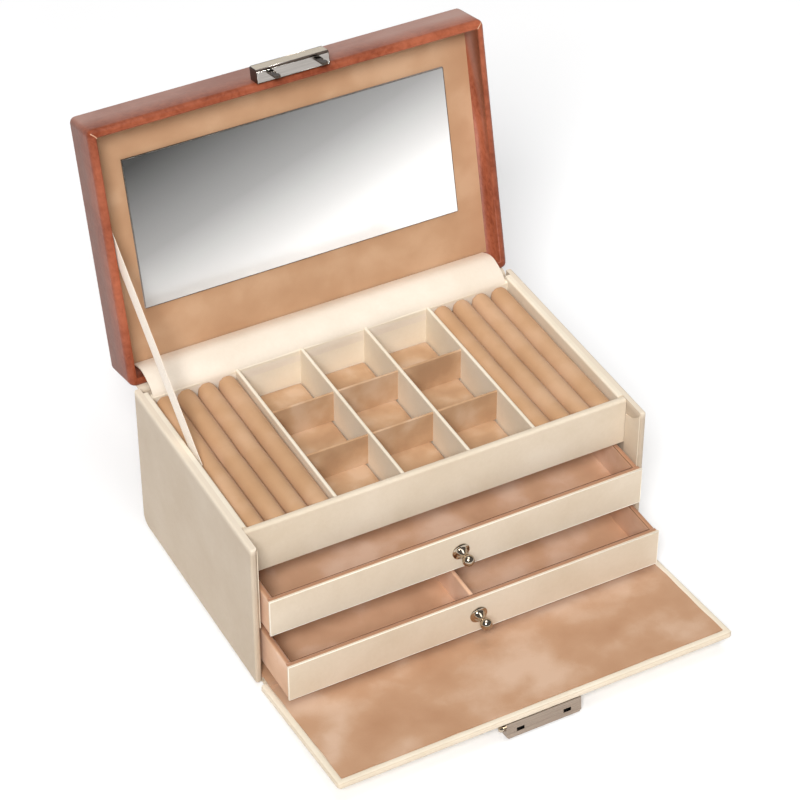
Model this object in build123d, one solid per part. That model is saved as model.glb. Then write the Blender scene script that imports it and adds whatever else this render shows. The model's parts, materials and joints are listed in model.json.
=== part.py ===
from build123d import *
import math
import os

# Vanity case for jewellery: leather-covered boards, a mirrored lid on a leather hinge, a tray of
# compartments and ring rolls, and two drawers behind a front flap that folds down.
# Millimetres, X to the right, Y to the back, Z up. The origin is the middle of the underside of
# the bottom pad, on the table. The lid, flap and drawers stand open as in use.

# Case boards
CASE_WIDTH = 300.0
CASE_DEPTH = 186.0
WALL = 4.6
BACK = 6.0
BASE = 4.0
PAD = 2.5
PAD_INSET = 12.0
CORNER_RADIUS = 9.0
EDGE_RADIUS = 1.8
ROUND_SHARE = 0.42
LINING = 0.8
LEATHER = 0.8
LEATHER_BEND = 2.0
GLUE = 0.05

# Drawers, from the floor up
RUNNER_HEIGHT = 7.8
RUNNER_WIDTH = 8.0
DRAWER_HEIGHT = 30.1
DRAWER_SIDE_GAP = 2.6
DRAWER_WALL = 4.0
DRAWER_FLOOR = 3.0
DRAWER_PLATE = 1.6
DRAWER_BEHIND = 3.5
PLATE_RISE = 0.6
HEADROOM = 2.6
SHELF = 4.0
UPPER_OUT = 28.7
LOWER_OUT = 54.4
LOWER_PUSH = 10.0
MIDDLE_BOARD = 3.0
RUN_GAP = 0.3

# Knobs and their screws
KNOB_FLANGE = 13.0
KNOB_FLANGE_EDGE = 1.0
KNOB_FOOT = 1.6
KNOB_SKIRT = 8.4
KNOB_NECK = 4.0
KNOB_BALL = 8.6
KNOB_LENGTH = 15.0
KNOB_NECK_STEPS = 3
KNOB_BALL_STEPS = 5
SCREW = 2.8
SCREW_HEAD = 7.0
SCREW_HEAD_HEIGHT = 1.6
SCREW_GRIP = 4.5
HOLE_GAP = 0.2

# Tray of compartments and ring rolls
TRAY_HEIGHT = 37.9
TRAY_RECESS = 18.5
TRAY_SIDE = 4.0
TRAY_FRONT = 5.0
TRAY_REAR = 3.5
TRAY_FLOOR = 4.0
TRAY_MAT = 3.6
DIVIDER = 2.6
DIVIDER_DROP = 2.4
CROSS = 1.8
CROSS_DROP = 4.8
COLUMNS = 3
ROWS = 3
ROLLS = 4
ROLL_WIDTH = 15.5
ROLL_DROP = 2.0
ROLL_GAP = 0.35
ROLL_END = 0.12
ROLL_END_STEPS = 2
RIBBON_SLOT = 1.1

# Lid
LID_DEPTH = 37.3
LID_RIM = 5.8
LID_TOP = 4.0
LID_GAP = 0.5
LID_CORNER = 3.0
LID_EDGE = 2.3
LID_FRAME = 8.0
LINING_DEPTH = 20.7
LINING_BOARD = 3.0
LINING_GAP = 0.3
LID_OPEN = 103.0
LID_HINGE_BACK = 1.5
LID_HINGE_DROP = 2.5
BACK_DROP = 4.0
MIRROR_SIDE = 26.5
MIRROR_REAR = 46.0
MIRROR_FRONT = 33.9
MIRROR_GLASS = 2.0
MIRROR_BEVEL = 0.3

# Front flap
FLAP_BOARD = 4.4
FLAP_GAP = 0.4
FLAP_LOW = 2.6
FLAP_DROP = 3.5
FLAP_BORDER = 4.7
FLAP_OPEN = 84.0
FLAP_HINGE_IN = 0.6
FLAP_HINGE_DROP = 0.4
STRIP_LAP = 10.0
SPINE_LAP = 15.0

# Leather gusset and ribbon stay
GUSSET = 1.0
GUSSET_INSET = 10.5
GUSSET_RISE = 3.3
GUSSET_BEND = 6.0
GUSSET_SEAT = 0.8
GUSSET_TUCK = 1.7
REAR_DROP = 3.0
RIBBON = 0.6
RIBBON_WIDTH = 14.0
RIBBON_TAIL = 12.0
RIBBON_REACH = 115.0
RIBBON_DEPTH = 13.0
RIBBON_PLACE = 108.6

# Two-part lock
LOCK_X = 2.0
LID_LOCK_STEP = 1.0
LID_LOCK_OUT = 9.8
LID_LOCK_HEIGHT = 10.7
LID_LOCK_BEVEL = 0.5
LOCK_CHAMFER = 1.6
HOOK_INSET = 10.7
HOOK_OUT = 7.0
HOOK_WIDTH = 4.4
HOOK_THICKNESS = 1.6
HOOK_LENGTH = 15.0
HOOK_NOTCH = 1.6
HOOK_TIP = 6.2
HOOK_POINT = 0.3
HOUSING_WIDTH = 57.0
HOUSING_OUT = 12.3
HOUSING_SLOPE = 5.0
HOUSING_ROOM = 5.0
SHEET = 1.0
SLOT_GAP = 0.7
SLIDE = 1.2
SLIDE_TRAVEL = 2.6
BUTTON = 4.5
BUTTON_SEAT = 5.2
BUTTON_OUT = 3.6
BUTTON_BEVEL = 0.17
SPRING = 0.4
SPRING_HEIGHT = 2.4
SPRING_SPREAD = 0.33

# Heights that follow from the stack of drawers, shelf and tray
base_top = PAD + BASE
floor_top = base_top + LINING
lower_z = floor_top + RUNNER_HEIGHT + RUN_GAP
shelf_z = lower_z + DRAWER_HEIGHT + HEADROOM
upper_z = shelf_z + SHELF + RUN_GAP
tray_z = upper_z + DRAWER_HEIGHT + HEADROOM
case_top = tray_z + TRAY_HEIGHT
tray_floor_top = tray_z + TRAY_FLOOR
mat_top = tray_floor_top + TRAY_MAT
back_top = case_top - BACK_DROP
rear_top = case_top - REAR_DROP

# Places in plan
case_front = -CASE_DEPTH / 2
case_back = CASE_DEPTH / 2
half_width = CASE_WIDTH / 2
inside = half_width - WALL
back_face = case_back - BACK
tray_front_y = case_front + TRAY_RECESS
tray_in_front = tray_front_y + TRAY_FRONT
tray_in_back = back_face - TRAY_REAR
tray_inside = inside - TRAY_SIDE
bay = RIBBON_SLOT + ROLLS * (ROLL_WIDTH + ROLL_GAP)
columns_half = tray_inside - bay - DIVIDER
column = (2 * columns_half - (COLUMNS - 1) * DIVIDER) / COLUMNS
row = (tray_in_back - tray_in_front - (ROWS - 1) * CROSS) / ROWS
plate_half = inside - DRAWER_SIDE_GAP
drawer_half = plate_half - 2 * RUN_GAP
drawer_depth = back_face - DRAWER_BEHIND - tray_front_y - LOWER_PUSH

# Lid and flap as they lie closed, and their hinge lines
flap_in = case_front - FLAP_GAP
flap_face = flap_in - LINING
flap_out = flap_face - FLAP_BOARD
flap_top = case_top - FLAP_DROP
flap_hinge = (flap_out + FLAP_HINGE_IN, FLAP_LOW - FLAP_HINGE_DROP)
lid_front = flap_out
rim_z = case_top + LID_GAP
lid_length = case_back - lid_front
lid_inside = half_width - LID_RIM
lining_z = rim_z + LINING_DEPTH
lid_hinge = (case_back + LID_HINGE_BACK, case_top - LID_HINGE_DROP)

# Lock, with the lid and flap closed
hook_y = lid_front - HOOK_OUT
hook_spread = HOUSING_WIDTH / 2 - HOOK_INSET
hook_tip = rim_z - HOOK_LENGTH
latch_z = hook_tip + HOOK_TIP
housing_top = flap_top - RUN_GAP
housing_low = hook_tip - HOUSING_ROOM
housing_out = flap_out - HOUSING_OUT
housing_left = LOCK_X - HOUSING_WIDTH / 2
housing_right = LOCK_X + HOUSING_WIDTH / 2
button_y = flap_out - BUTTON_SEAT
slide_left = housing_left + SHEET + LOCK_CHAMFER + RUN_GAP
slide_right = housing_right - SHEET - LOCK_CHAMFER - 2 * SLIDE_TRAVEL


def span(half):
    """The range from -half to half."""
    return (-half, half)


def board(x, y, z):
    """Flat board that fills three (low, high) ranges."""
    ranges = (x, y, z)
    middle = [(low + high) / 2 for low, high in ranges]
    return Pos(*middle) * Box(*[high - low for low, high in ranges])


def soften(edges, radius, thickness):
    """Rounds edges where leather turns over a board, within what the board's thickness allows."""
    return fillet(edges, min(radius, ROUND_SHARE * thickness))


def top_edges(shape, along):
    """The highest straight edges that run along one axis."""
    return shape.edges().filter_by(along).group_by(Axis.Z)[-1]


def swing(point, hinge, degrees):
    """A (y, z) point of the side view turned about a hinge line."""
    turn = math.radians(degrees)
    y = point[0] - hinge[0]
    z = point[1] - hinge[1]
    turned_y = y * math.cos(turn) - z * math.sin(turn)
    turned_z = y * math.sin(turn) + z * math.cos(turn)
    return (hinge[0] + turned_y, hinge[1] + turned_z)


def open_lid(shape):
    """Turns a piece of the closed lid to where the lid stands open."""
    return shape.rotate(Axis((0, *lid_hinge), (1, 0, 0)), -LID_OPEN)


def open_flap(shape):
    """Turns a piece of the closed flap to where the flap lies open."""
    return shape.rotate(Axis((0, *flap_hinge), (1, 0, 0)), FLAP_OPEN)


def lid_point(y, z):
    """A side-view point of the closed lid, where it is with the lid open."""
    return swing((y, z), lid_hinge, -LID_OPEN)


def flap_point(y, z):
    """A side-view point of the closed flap, where it is with the flap open."""
    return swing((y, z), flap_hinge, FLAP_OPEN)


def leather_band(path, thickness, half):
    """Leather of even thickness: a side-view path drawn out along X."""
    return extrude(Plane.YZ.offset(-half) * trace(path, thickness), 2 * half)


# Case boards

def case_outline():
    """Side outline of the case, with the round lower corner at the back."""
    height = case_top - PAD
    outline = Pos(0, PAD + height / 2) * Rectangle(CASE_DEPTH, height)
    corner = outline.vertices().group_by(Axis.X)[-1].sort_by(Axis.Y)[0]
    return fillet(corner, CORNER_RADIUS)


def case_block():
    """The case's whole outline between its outer faces, for trimming the boards inside it."""
    return extrude(Plane.YZ.offset(-half_width) * case_outline(), CASE_WIDTH)


def side_wall(side):
    """Side board with leather turned over its outer and front edges; side is -1 or 1."""
    low = min(side * half_width, side * inside)
    wall = extrude(Plane.YZ.offset(low) * case_outline(), WALL)
    outer = wall.faces().sort_by(Axis.X)[-1 if side > 0 else 0]
    front = wall.faces().sort_by(Axis.Y)[0]
    return soften(outer.edges() + front.edges(), EDGE_RADIUS, WALL)


def back_wall():
    """Back board, lower than the sides to leave room for the leather hinge."""
    wall = board(span(inside), (back_face, case_back), (PAD, back_top)) & case_block()
    return soften(top_edges(wall, Axis.X), EDGE_RADIUS, BACK)


def base_board():
    """Base board between the side walls."""
    return board(span(inside), (case_front, back_face), (PAD, base_top)) & case_block()


def bottom_pad():
    """Pad that covers the leather's turned-in edges; the case rests on it."""
    pad = RectangleRounded(CASE_WIDTH - 2 * PAD_INSET, CASE_DEPTH - 2 * PAD_INSET, CORNER_RADIUS)
    return extrude(pad, PAD)


def floor_lining():
    """Suede on the base board, under the drawers."""
    return board(span(inside), (case_front, back_face), (base_top, floor_top))


def drawer_runners():
    """Rails at both sides that carry the lower drawer."""
    rails = []
    for low in (-inside, inside - RUNNER_WIDTH):
        ends = (tray_front_y, back_face)
        rail = board((low, low + RUNNER_WIDTH), ends, (floor_top, floor_top + RUNNER_HEIGHT))
        nose = rail.faces().sort_by(Axis.Y)[0].edges().group_by(Axis.Z)[-1]
        rails.append(fillet(nose, EDGE_RADIUS))
    return Compound(children=rails)


def drawer_shelf():
    """Shelf that the upper drawer slides on."""
    shelf = board(span(inside), (tray_front_y, back_face), (shelf_z, shelf_z + SHELF))
    front = shelf.faces().sort_by(Axis.Y)[0].edges().filter_by(Axis.X)
    return soften(front, EDGE_RADIUS, SHELF)


# Tray

def tray_front():
    """Leather-covered front panel of the tray, with a round top edge."""
    panel = board(span(inside - RUN_GAP), (tray_front_y, tray_in_front), (tray_z, case_top))
    return soften(top_edges(panel, Axis.X), TRAY_FRONT, TRAY_FRONT)


def tray_side(side):
    """Side of the tray, flush with the top of the case wall."""
    x = sorted((side * tray_inside, side * inside))
    wall = board(x, (tray_in_front, back_face), (tray_z, case_top))
    edge = top_edges(wall, Axis.Y).sort_by(Axis.X)[0 if side > 0 else -1]
    return soften(edge, EDGE_RADIUS, TRAY_SIDE)


def tray_rear():
    """Rear of the tray; the gusset starts on its top edge."""
    wall = board(span(tray_inside), (tray_in_back, back_face), (tray_z, rear_top))
    edge = top_edges(wall, Axis.X).sort_by(Axis.Y)[0]
    return soften(edge, EDGE_RADIUS, TRAY_REAR)


def tray_floor():
    """Floor board of the tray, between its four walls."""
    return board(span(tray_inside), (tray_in_front, tray_in_back), (tray_z, tray_floor_top))


def divider(number):
    """One of the leather-covered dividers that run from front to back, counted from the left."""
    low = -columns_half - DIVIDER + number * (column + DIVIDER)
    wall = board((low, low + DIVIDER), (tray_in_front, tray_in_back),
                 (tray_floor_top, case_top - DIVIDER_DROP))
    return soften(top_edges(wall, Axis.Y), DIVIDER, DIVIDER)


def column_range(number):
    """The clear range of one column of compartments, counted from the left."""
    low = -columns_half + number * (column + DIVIDER)
    return (low, low + column)


def tray_mats():
    """Suede-covered pads on the floor of each column of compartments."""
    ends = (tray_in_front, tray_in_back)
    heights = (tray_floor_top, mat_top)
    return Compound(children=[board(column_range(i), ends, heights) for i in range(COLUMNS)])


def cross_dividers():
    """Thin suede dividers across the columns, standing on the pads."""
    walls = []
    for i in range(COLUMNS):
        for j in range(1, ROWS):
            low = tray_in_front + j * row + (j - 1) * CROSS
            wall = board(column_range(i), (low, low + CROSS), (mat_top, case_top - CROSS_DROP))
            walls.append(chamfer(top_edges(wall, Axis.X), ROUND_SHARE * CROSS))
    return Compound(children=walls)


def roll_section(middle, y, inset):
    """Upright section of a ring roll with a round top, drawn in on both sides and above."""
    radius = ROLL_WIDTH / 2 - inset
    shoulder = case_top - ROLL_DROP - ROLL_WIDTH / 2
    left = middle - radius
    right = middle + radius
    slant = radius * math.sqrt(0.5)
    outline = Polyline((left, shoulder), (left, tray_floor_top), (right, tray_floor_top),
                       (right, shoulder))
    crown = (middle, shoulder + radius)
    outline += ThreePointArc((right, shoulder), (middle + slant, shoulder + slant), crown)
    outline += ThreePointArc(crown, (middle - slant, shoulder + slant), (left, shoulder))
    return Plane.XZ.offset(-y) * make_face(outline)


def ring_roll(side, number):
    """Padded roll with a round top and soft ends, counted outwards from the dividers."""
    pitch = ROLL_WIDTH + ROLL_GAP
    middle = side * (columns_half + DIVIDER + ROLL_GAP + ROLL_WIDTH / 2 + number * pitch)
    radius = ROLL_END * ROLL_WIDTH
    near = []
    far = []
    for step in range(ROLL_END_STEPS + 1):
        turn = math.radians(90 * step / ROLL_END_STEPS)
        along = RUN_GAP + radius * (1 - math.cos(turn))
        inset = radius * (1 - math.sin(turn))
        near.append(roll_section(middle, tray_in_front + along, inset))
        far.append(roll_section(middle, tray_in_back - along, inset))
    return loft(near + far[::-1], ruled=True)


# Lid

def lid_shell():
    """Lid board box, open below, with its outer edges rounded by the leather."""
    plan = Pos(0, (lid_front + case_back) / 2) * RectangleRounded(CASE_WIDTH, lid_length, LID_CORNER)
    shell = extrude(Plane.XY.offset(rim_z) * plan, LID_DEPTH)
    shell = fillet(shell.faces().sort_by(Axis.Z)[-1].edges(), LID_CORNER)
    shell -= board(span(lid_inside), (lid_front + LID_RIM, case_back - LID_RIM),
                   (rim_z, rim_z + LID_DEPTH - LID_TOP))
    rim = shell.faces().sort_by(Axis.Z)[0].edges()
    return open_lid(soften(rim, LID_EDGE, LID_RIM))


def lid_frame():
    """Frame of strips inside the lid that carries the lining board."""
    x = span(lid_inside)
    y = (lid_front + LID_RIM, case_back - LID_RIM)
    z = (lining_z + LINING_BOARD, rim_z + LID_DEPTH - LID_TOP)
    window = board((x[0] + LID_FRAME, x[1] - LID_FRAME), (y[0] + LID_FRAME, y[1] - LID_FRAME), z)
    return open_lid(board(x, y, z) - window)


def lid_lining():
    """Suede-covered board in the lid, on which the mirror sits."""
    x = span(lid_inside - LINING_GAP)
    y = (lid_front + LID_RIM + LINING_GAP, case_back - LID_RIM - 2 * LINING_GAP)
    return open_lid(board(x, y, (lining_z, lining_z + LINING_BOARD)))


def mirror():
    """Glass with a bevelled edge, glued to the lining."""
    x = span(half_width - MIRROR_SIDE)
    y = (lid_front + MIRROR_FRONT, case_back - MIRROR_REAR)
    glass = board(x, y, (lining_z - MIRROR_GLASS, lining_z))
    face = glass.faces().sort_by(Axis.Z)[0]
    return open_lid(chamfer(face.edges(), MIRROR_BEVEL * MIRROR_GLASS))


def hinge_gusset():
    """Leather inside the hinge, arched from the tray's rear wall over the lid's rim to the lining."""
    rim = lid_point(case_back - LID_RIM, rim_z)
    deep = lid_point(case_back - LID_RIM, lining_z)
    seat = ((tray_in_back + back_face) / 2, rear_top + GUSSET_SEAT * GUSSET)
    bend = (case_back - GUSSET, rim[1])
    crest = (rim[0] + GUSSET_RISE, rim[1] + GUSSET_RISE)
    tuck = (deep[0] - GUSSET, deep[1] + GUSSET_TUCK * GUSSET)
    path = FilletPolyline(seat, bend, crest, tuck, radius=GUSSET_BEND)
    return leather_band(path, GUSSET, half_width - GUSSET_INSET)


def hinge_spine():
    """Leather outside the hinge, from the back wall to the lid's rear edge."""
    off = LEATHER / 2 + 2 * GLUE
    low = (case_back + off, back_top - SPINE_LAP)
    bend = (case_back + off, lid_hinge[1] + off)
    end = lid_point(case_back + off, rim_z + SPINE_LAP)
    path = FilletPolyline(low, bend, end, radius=LEATHER_BEND)
    return leather_band(path, LEATHER, inside)


def ribbon_stay():
    """Ribbon that stops the lid, from the lid's left rim down between the tray side and a roll."""
    high = lid_point(case_back - RIBBON_REACH, rim_z + RIBBON_DEPTH)
    top = Vector(-lid_inside + RIBBON, *high)
    foot = Vector(-tray_inside + RIBBON_SLOT / 2, case_front + RIBBON_PLACE, case_top)
    run = (top - foot).normalized()
    start = foot - run * RIBBON_TAIL
    lie = Plane(origin=start, x_dir=Vector(1, 0, 0), z_dir=run)
    return extrude(lie * Rectangle(RIBBON, RIBBON_WIDTH), (top - start).length)


# Front flap

def flap_board():
    """Leather-covered front flap."""
    plan = Pos(0, (FLAP_LOW + flap_top) / 2) * RectangleRounded(CASE_WIDTH, flap_top - FLAP_LOW, LID_CORNER)
    flap = extrude(Plane.XZ.offset(-flap_face) * plan, FLAP_BOARD)
    rims = flap.faces().filter_by(Axis.Y).edges()
    return open_flap(soften(rims, EDGE_RADIUS, FLAP_BOARD))


def flap_lining():
    """Suede on the inside of the flap, within a border of turned leather."""
    x = span(half_width - FLAP_BORDER)
    return open_flap(board(x, (flap_face, flap_in), (FLAP_LOW + EDGE_RADIUS, flap_top - FLAP_BORDER)))


def flap_hinge_strip():
    """Leather outside the flap's hinge, from under the base board to the flap's outer face."""
    off = LEATHER / 2
    under = PAD - off
    near = flap_point(flap_out - off - GLUE, FLAP_LOW)
    far = flap_point(flap_out - off - GLUE, FLAP_LOW + STRIP_LAP)
    path = FilletPolyline((case_front + STRIP_LAP, under), (case_front, under), near, far,
                          radius=LEATHER_BEND)
    return leather_band(path, LEATHER, inside)


def flap_hinge_lining():
    """Suede that bridges the floor and the flap."""
    off = LINING / 2 + GLUE
    over = floor_top + off
    start = FLAP_LOW + EDGE_RADIUS
    near = flap_point(flap_in + off, start)
    far = flap_point(flap_in + off, start + STRIP_LAP / 2)
    path = FilletPolyline((case_front + STRIP_LAP, over), (case_front, over), near, far,
                          radius=LEATHER_BEND)
    return leather_band(path, LINING, inside - RUN_GAP)


# Lock

def lid_lock():
    """Metal block on the lid's front edge that carries the two hooks."""
    x = (housing_left + LID_LOCK_STEP, housing_right - LID_LOCK_STEP)
    block = board(x, (lid_front - LID_LOCK_OUT, lid_front), (rim_z, rim_z + LID_LOCK_HEIGHT))
    return open_lid(chamfer(block.faces().sort_by(Axis.Y)[0].edges(), LID_LOCK_BEVEL))


def lock_hooks():
    """Two flat tongues, each with a pointed tip and a notch on the right for the latch."""
    hooks = []
    notch_height = SLIDE + 2 * SLOT_GAP
    for side in (-1, 1):
        middle = LOCK_X + side * hook_spread
        tongue = Pos(middle, (hook_tip + rim_z) / 2) * Rectangle(HOOK_WIDTH, HOOK_LENGTH)
        tongue = chamfer(tongue.vertices().group_by(Axis.Y)[0], HOOK_POINT * HOOK_WIDTH)
        edge = middle + HOOK_WIDTH / 2
        notch_z = latch_z + SLIDE / 2
        tongue -= Pos(edge, notch_z) * Rectangle(2 * HOOK_NOTCH, notch_height)
        plane = Plane.XZ.offset(-hook_y - HOOK_THICKNESS / 2)
        hooks.append(open_lid(extrude(plane * tongue, HOOK_THICKNESS)))
    return Compound(children=hooks)


def housing_section(inset):
    """Side-view section of the lock housing, drawn in by the thickness of its sheet."""
    back = flap_out
    out = housing_out + inset
    low = housing_low + inset
    high = housing_top - inset
    slope = HOUSING_SLOPE
    return Polygon((out + slope, low), (back, low), (back, high), (out, high), (out, low + slope),
                   align=None)


def flap_lock_housing():
    """Folded sheet housing on the flap, with slots for the hooks and a hole for the button."""
    shell = extrude(Plane.YZ.offset(housing_left) * housing_section(0), HOUSING_WIDTH)
    ends = shell.edges().filter_by(Axis.Z).group_by(Axis.Y)[0]
    shell = chamfer(ends, LOCK_CHAMFER)
    room = HOUSING_WIDTH - 2 * (SHEET + LOCK_CHAMFER)
    shell -= extrude(Plane.YZ.offset(housing_left + SHEET + LOCK_CHAMFER) * housing_section(SHEET), room)
    for side in (-1, 1):
        x = LOCK_X + side * hook_spread
        half = HOOK_WIDTH / 2 + SLOT_GAP
        deep = HOOK_THICKNESS / 2 + SLOT_GAP
        shell -= board((x - half, x + half), (hook_y - deep, hook_y + deep),
                       (housing_top - 2 * SHEET, housing_top))
    bore = button_bar(BUTTON / 2 + RUN_GAP, housing_left, housing_left + 2 * (SHEET + LOCK_CHAMFER))
    return open_flap(shell - bore)


def button_bar(radius, start, end):
    """Round bar along X on the button's line."""
    line = Plane.YZ.offset(start) * Pos(button_y, latch_z + SLIDE / 2)
    return extrude(line * Circle(radius), end - start)


def latch_slide():
    """Sliding plate whose windows catch the hooks' notches, and let them go when it is pushed in."""
    y = (housing_out + SHEET + RUN_GAP, flap_out - RUN_GAP)
    plate = board((slide_left, slide_right), y, (latch_z, latch_z + SLIDE))
    for side in (-1, 1):
        middle = LOCK_X + side * hook_spread
        left = middle - HOOK_WIDTH / 2 - SLIDE_TRAVEL - SLOT_GAP
        right = middle + HOOK_WIDTH / 2 - HOOK_NOTCH + SLOT_GAP
        deep = HOOK_THICKNESS / 2 + SLOT_GAP
        plate -= board((left, right), (hook_y - deep, hook_y + deep), (latch_z, latch_z + SLIDE))
    return open_flap(plate)


def release_button():
    """Round button at the left end of the housing, on the end of the slide."""
    button = button_bar(BUTTON / 2, housing_left - BUTTON_OUT, slide_left)
    return open_flap(chamfer(button.faces().sort_by(Axis.X)[0].edges(), BUTTON_BEVEL * BUTTON))


def latch_spring():
    """Bowed leaf that pushes the slide back to the left."""
    room = housing_right - SHEET - LOCK_CHAMFER - slide_right - 2 * RUN_GAP
    y = (housing_out + SHEET + flap_out) / 2
    reach = SPRING_SPREAD * HOUSING_OUT
    left = slide_right + RUN_GAP + SPRING
    bow = ThreePointArc((left + room - SPRING, y - reach), (left, y), (left + room - SPRING, y + reach))
    leaf = Plane.XY.offset(latch_z + SLIDE / 2 - SPRING_HEIGHT / 2) * trace(bow, SPRING)
    return open_flap(extrude(leaf, SPRING_HEIGHT))


# Drawers

def knob_hole(shape, front_y, z):
    """Cuts the hole for a knob's screw through a drawer's front."""
    drill = Plane.XZ.offset(-front_y - 2 * (DRAWER_PLATE + DRAWER_WALL)) * Pos(0, z)
    return shape - extrude(drill * Circle(SCREW / 2 + HOLE_GAP), 4 * (DRAWER_PLATE + DRAWER_WALL))


def knob(front_y, z):
    """Turned knob: flange, trumpet neck and ball, with a blind hole for its screw."""
    ball = KNOB_BALL / 2
    neck = KNOB_NECK / 2
    skirt = KNOB_SKIRT / 2
    flange = KNOB_FLANGE / 2
    foot = KNOB_FOOT * KNOB_FLANGE_EDGE
    centre = KNOB_LENGTH - ball
    throat = math.asin(neck / ball)
    join = centre - ball * math.cos(throat)
    outline = [(0, 0), (flange, 0), (flange, -KNOB_FLANGE_EDGE)]
    for step in range(KNOB_NECK_STEPS):
        flare = math.radians(90 * step / KNOB_NECK_STEPS)
        radius = skirt - (skirt - neck) * math.sin(flare)
        outline.append((radius, -join + (join - foot) * math.cos(flare)))
    for step in range(KNOB_BALL_STEPS + 1):
        turn = throat + (math.pi - throat) * step / KNOB_BALL_STEPS
        outline.append((ball * math.sin(turn), ball * math.cos(turn) - centre))
    turned = revolve(make_face(Polyline(*outline, close=True)), Axis.Y)
    hole = extrude(Plane.XZ * Circle(SCREW / 2 + HOLE_GAP), SCREW_GRIP + HOLE_GAP)
    return Pos(0, front_y, z) * (turned - hole)


def knob_screw(front_y, z):
    """Screw from inside the drawer into the knob."""
    seat = DRAWER_PLATE + DRAWER_WALL
    shank = extrude(Plane.XZ.offset(-seat) * Circle(SCREW / 2), seat + SCREW_GRIP)
    head = extrude(Plane.XZ.offset(-seat - SCREW_HEAD_HEIGHT) * Circle(SCREW_HEAD / 2), SCREW_HEAD_HEIGHT)
    return Pos(0, front_y, z) * (shank + head)


def drawer(name, low, front_y, split):
    """Suede-covered box with a leather front plate and a knob; split adds a board down the middle."""
    top = low + DRAWER_HEIGHT - PLATE_RISE
    floor = low + DRAWER_FLOOR
    inner = front_y + DRAWER_PLATE
    start = inner + DRAWER_WALL
    rear = front_y + drawer_depth
    knob_z = low + DRAWER_HEIGHT / 2
    within = drawer_half - DRAWER_WALL

    plate = board(span(plate_half), (front_y, inner), (low, low + DRAWER_HEIGHT))
    plate = soften(plate.faces().sort_by(Axis.Y)[0].edges(), EDGE_RADIUS, DRAWER_PLATE)
    front = board(span(drawer_half), (inner, start), (low, top))
    front = soften(top_edges(front, Axis.X).sort_by(Axis.Y)[-1], EDGE_RADIUS, DRAWER_WALL)
    back = board(span(within), (rear - DRAWER_WALL, rear), (floor, top))
    sides = []
    for x in ((-drawer_half, -within), (within, drawer_half)):
        wall = board(x, (start, rear), (floor, top))
        sides.append(soften(top_edges(wall, Axis.Y), EDGE_RADIUS, DRAWER_WALL))

    pieces = {
        "front_plate": knob_hole(plate, front_y, knob_z),
        "inner_front": knob_hole(front, front_y, knob_z),
        "floor": board(span(drawer_half), (start, rear), (low, floor)),
        "sides": Compound(children=sides),
        "back": soften(top_edges(back, Axis.X), EDGE_RADIUS, DRAWER_WALL),
        "knob": knob(front_y, knob_z),
        "knob_screw": knob_screw(front_y, knob_z),
    }
    if split:
        middle = board(span(MIDDLE_BOARD / 2), (start, rear - DRAWER_WALL), (floor, top - DRAWER_WALL))
        gap = board(span(SCREW_HEAD), (start, start + 2 * SCREW_HEAD_HEIGHT),
                    (knob_z - SCREW_HEAD, top))
        pieces["divider"] = soften(top_edges(middle, Axis.Y), MIDDLE_BOARD, MIDDLE_BOARD) - gap
    return {f"{name}_{piece}": shape for piece, shape in pieces.items()}


# All pieces, by name

nodes = {
    "bottom_pad": bottom_pad(),
    "base_board": base_board(),
    "left_wall": side_wall(-1),
    "right_wall": side_wall(1),
    "back_wall": back_wall(),
    "floor_lining": floor_lining(),
    "drawer_runners": drawer_runners(),
    "drawer_shelf": drawer_shelf(),
    "tray_front": tray_front(),
    "tray_left_side": tray_side(-1),
    "tray_right_side": tray_side(1),
    "tray_rear": tray_rear(),
    "tray_floor": tray_floor(),
    "tray_mats": tray_mats(),
    "cross_dividers": cross_dividers(),
    "lid_shell": lid_shell(),
    "lid_frame": lid_frame(),
    "lid_lining": lid_lining(),
    "mirror": mirror(),
    "hinge_gusset": hinge_gusset(),
    "hinge_spine": hinge_spine(),
    "ribbon_stay": ribbon_stay(),
    "flap_board": flap_board(),
    "flap_lining": flap_lining(),
    "flap_hinge_strip": flap_hinge_strip(),
    "flap_hinge_lining": flap_hinge_lining(),
    "lid_lock": lid_lock(),
    "lock_hooks": lock_hooks(),
    "flap_lock_housing": flap_lock_housing(),
    "latch_slide": latch_slide(),
    "release_button": release_button(),
    "latch_spring": latch_spring(),
}
for number in range(COLUMNS + 1):
    nodes[f"divider_{number + 1}"] = divider(number)
for number in range(ROLLS):
    nodes[f"ring_roll_left_{number + 1}"] = ring_roll(-1, number)
    nodes[f"ring_roll_right_{number + 1}"] = ring_roll(1, number)
nodes.update(drawer("upper_drawer", upper_z, tray_front_y - UPPER_OUT, split=False))
nodes.update(drawer("lower_drawer", lower_z, tray_front_y - LOWER_OUT, split=True))

os.makedirs("parts", exist_ok=True)
for name, shape in nodes.items():
    export_step(shape, f"parts/{name}.step")
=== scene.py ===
import json
import math

import bmesh
import bpy
from mathutils import Matrix, Vector


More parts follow.
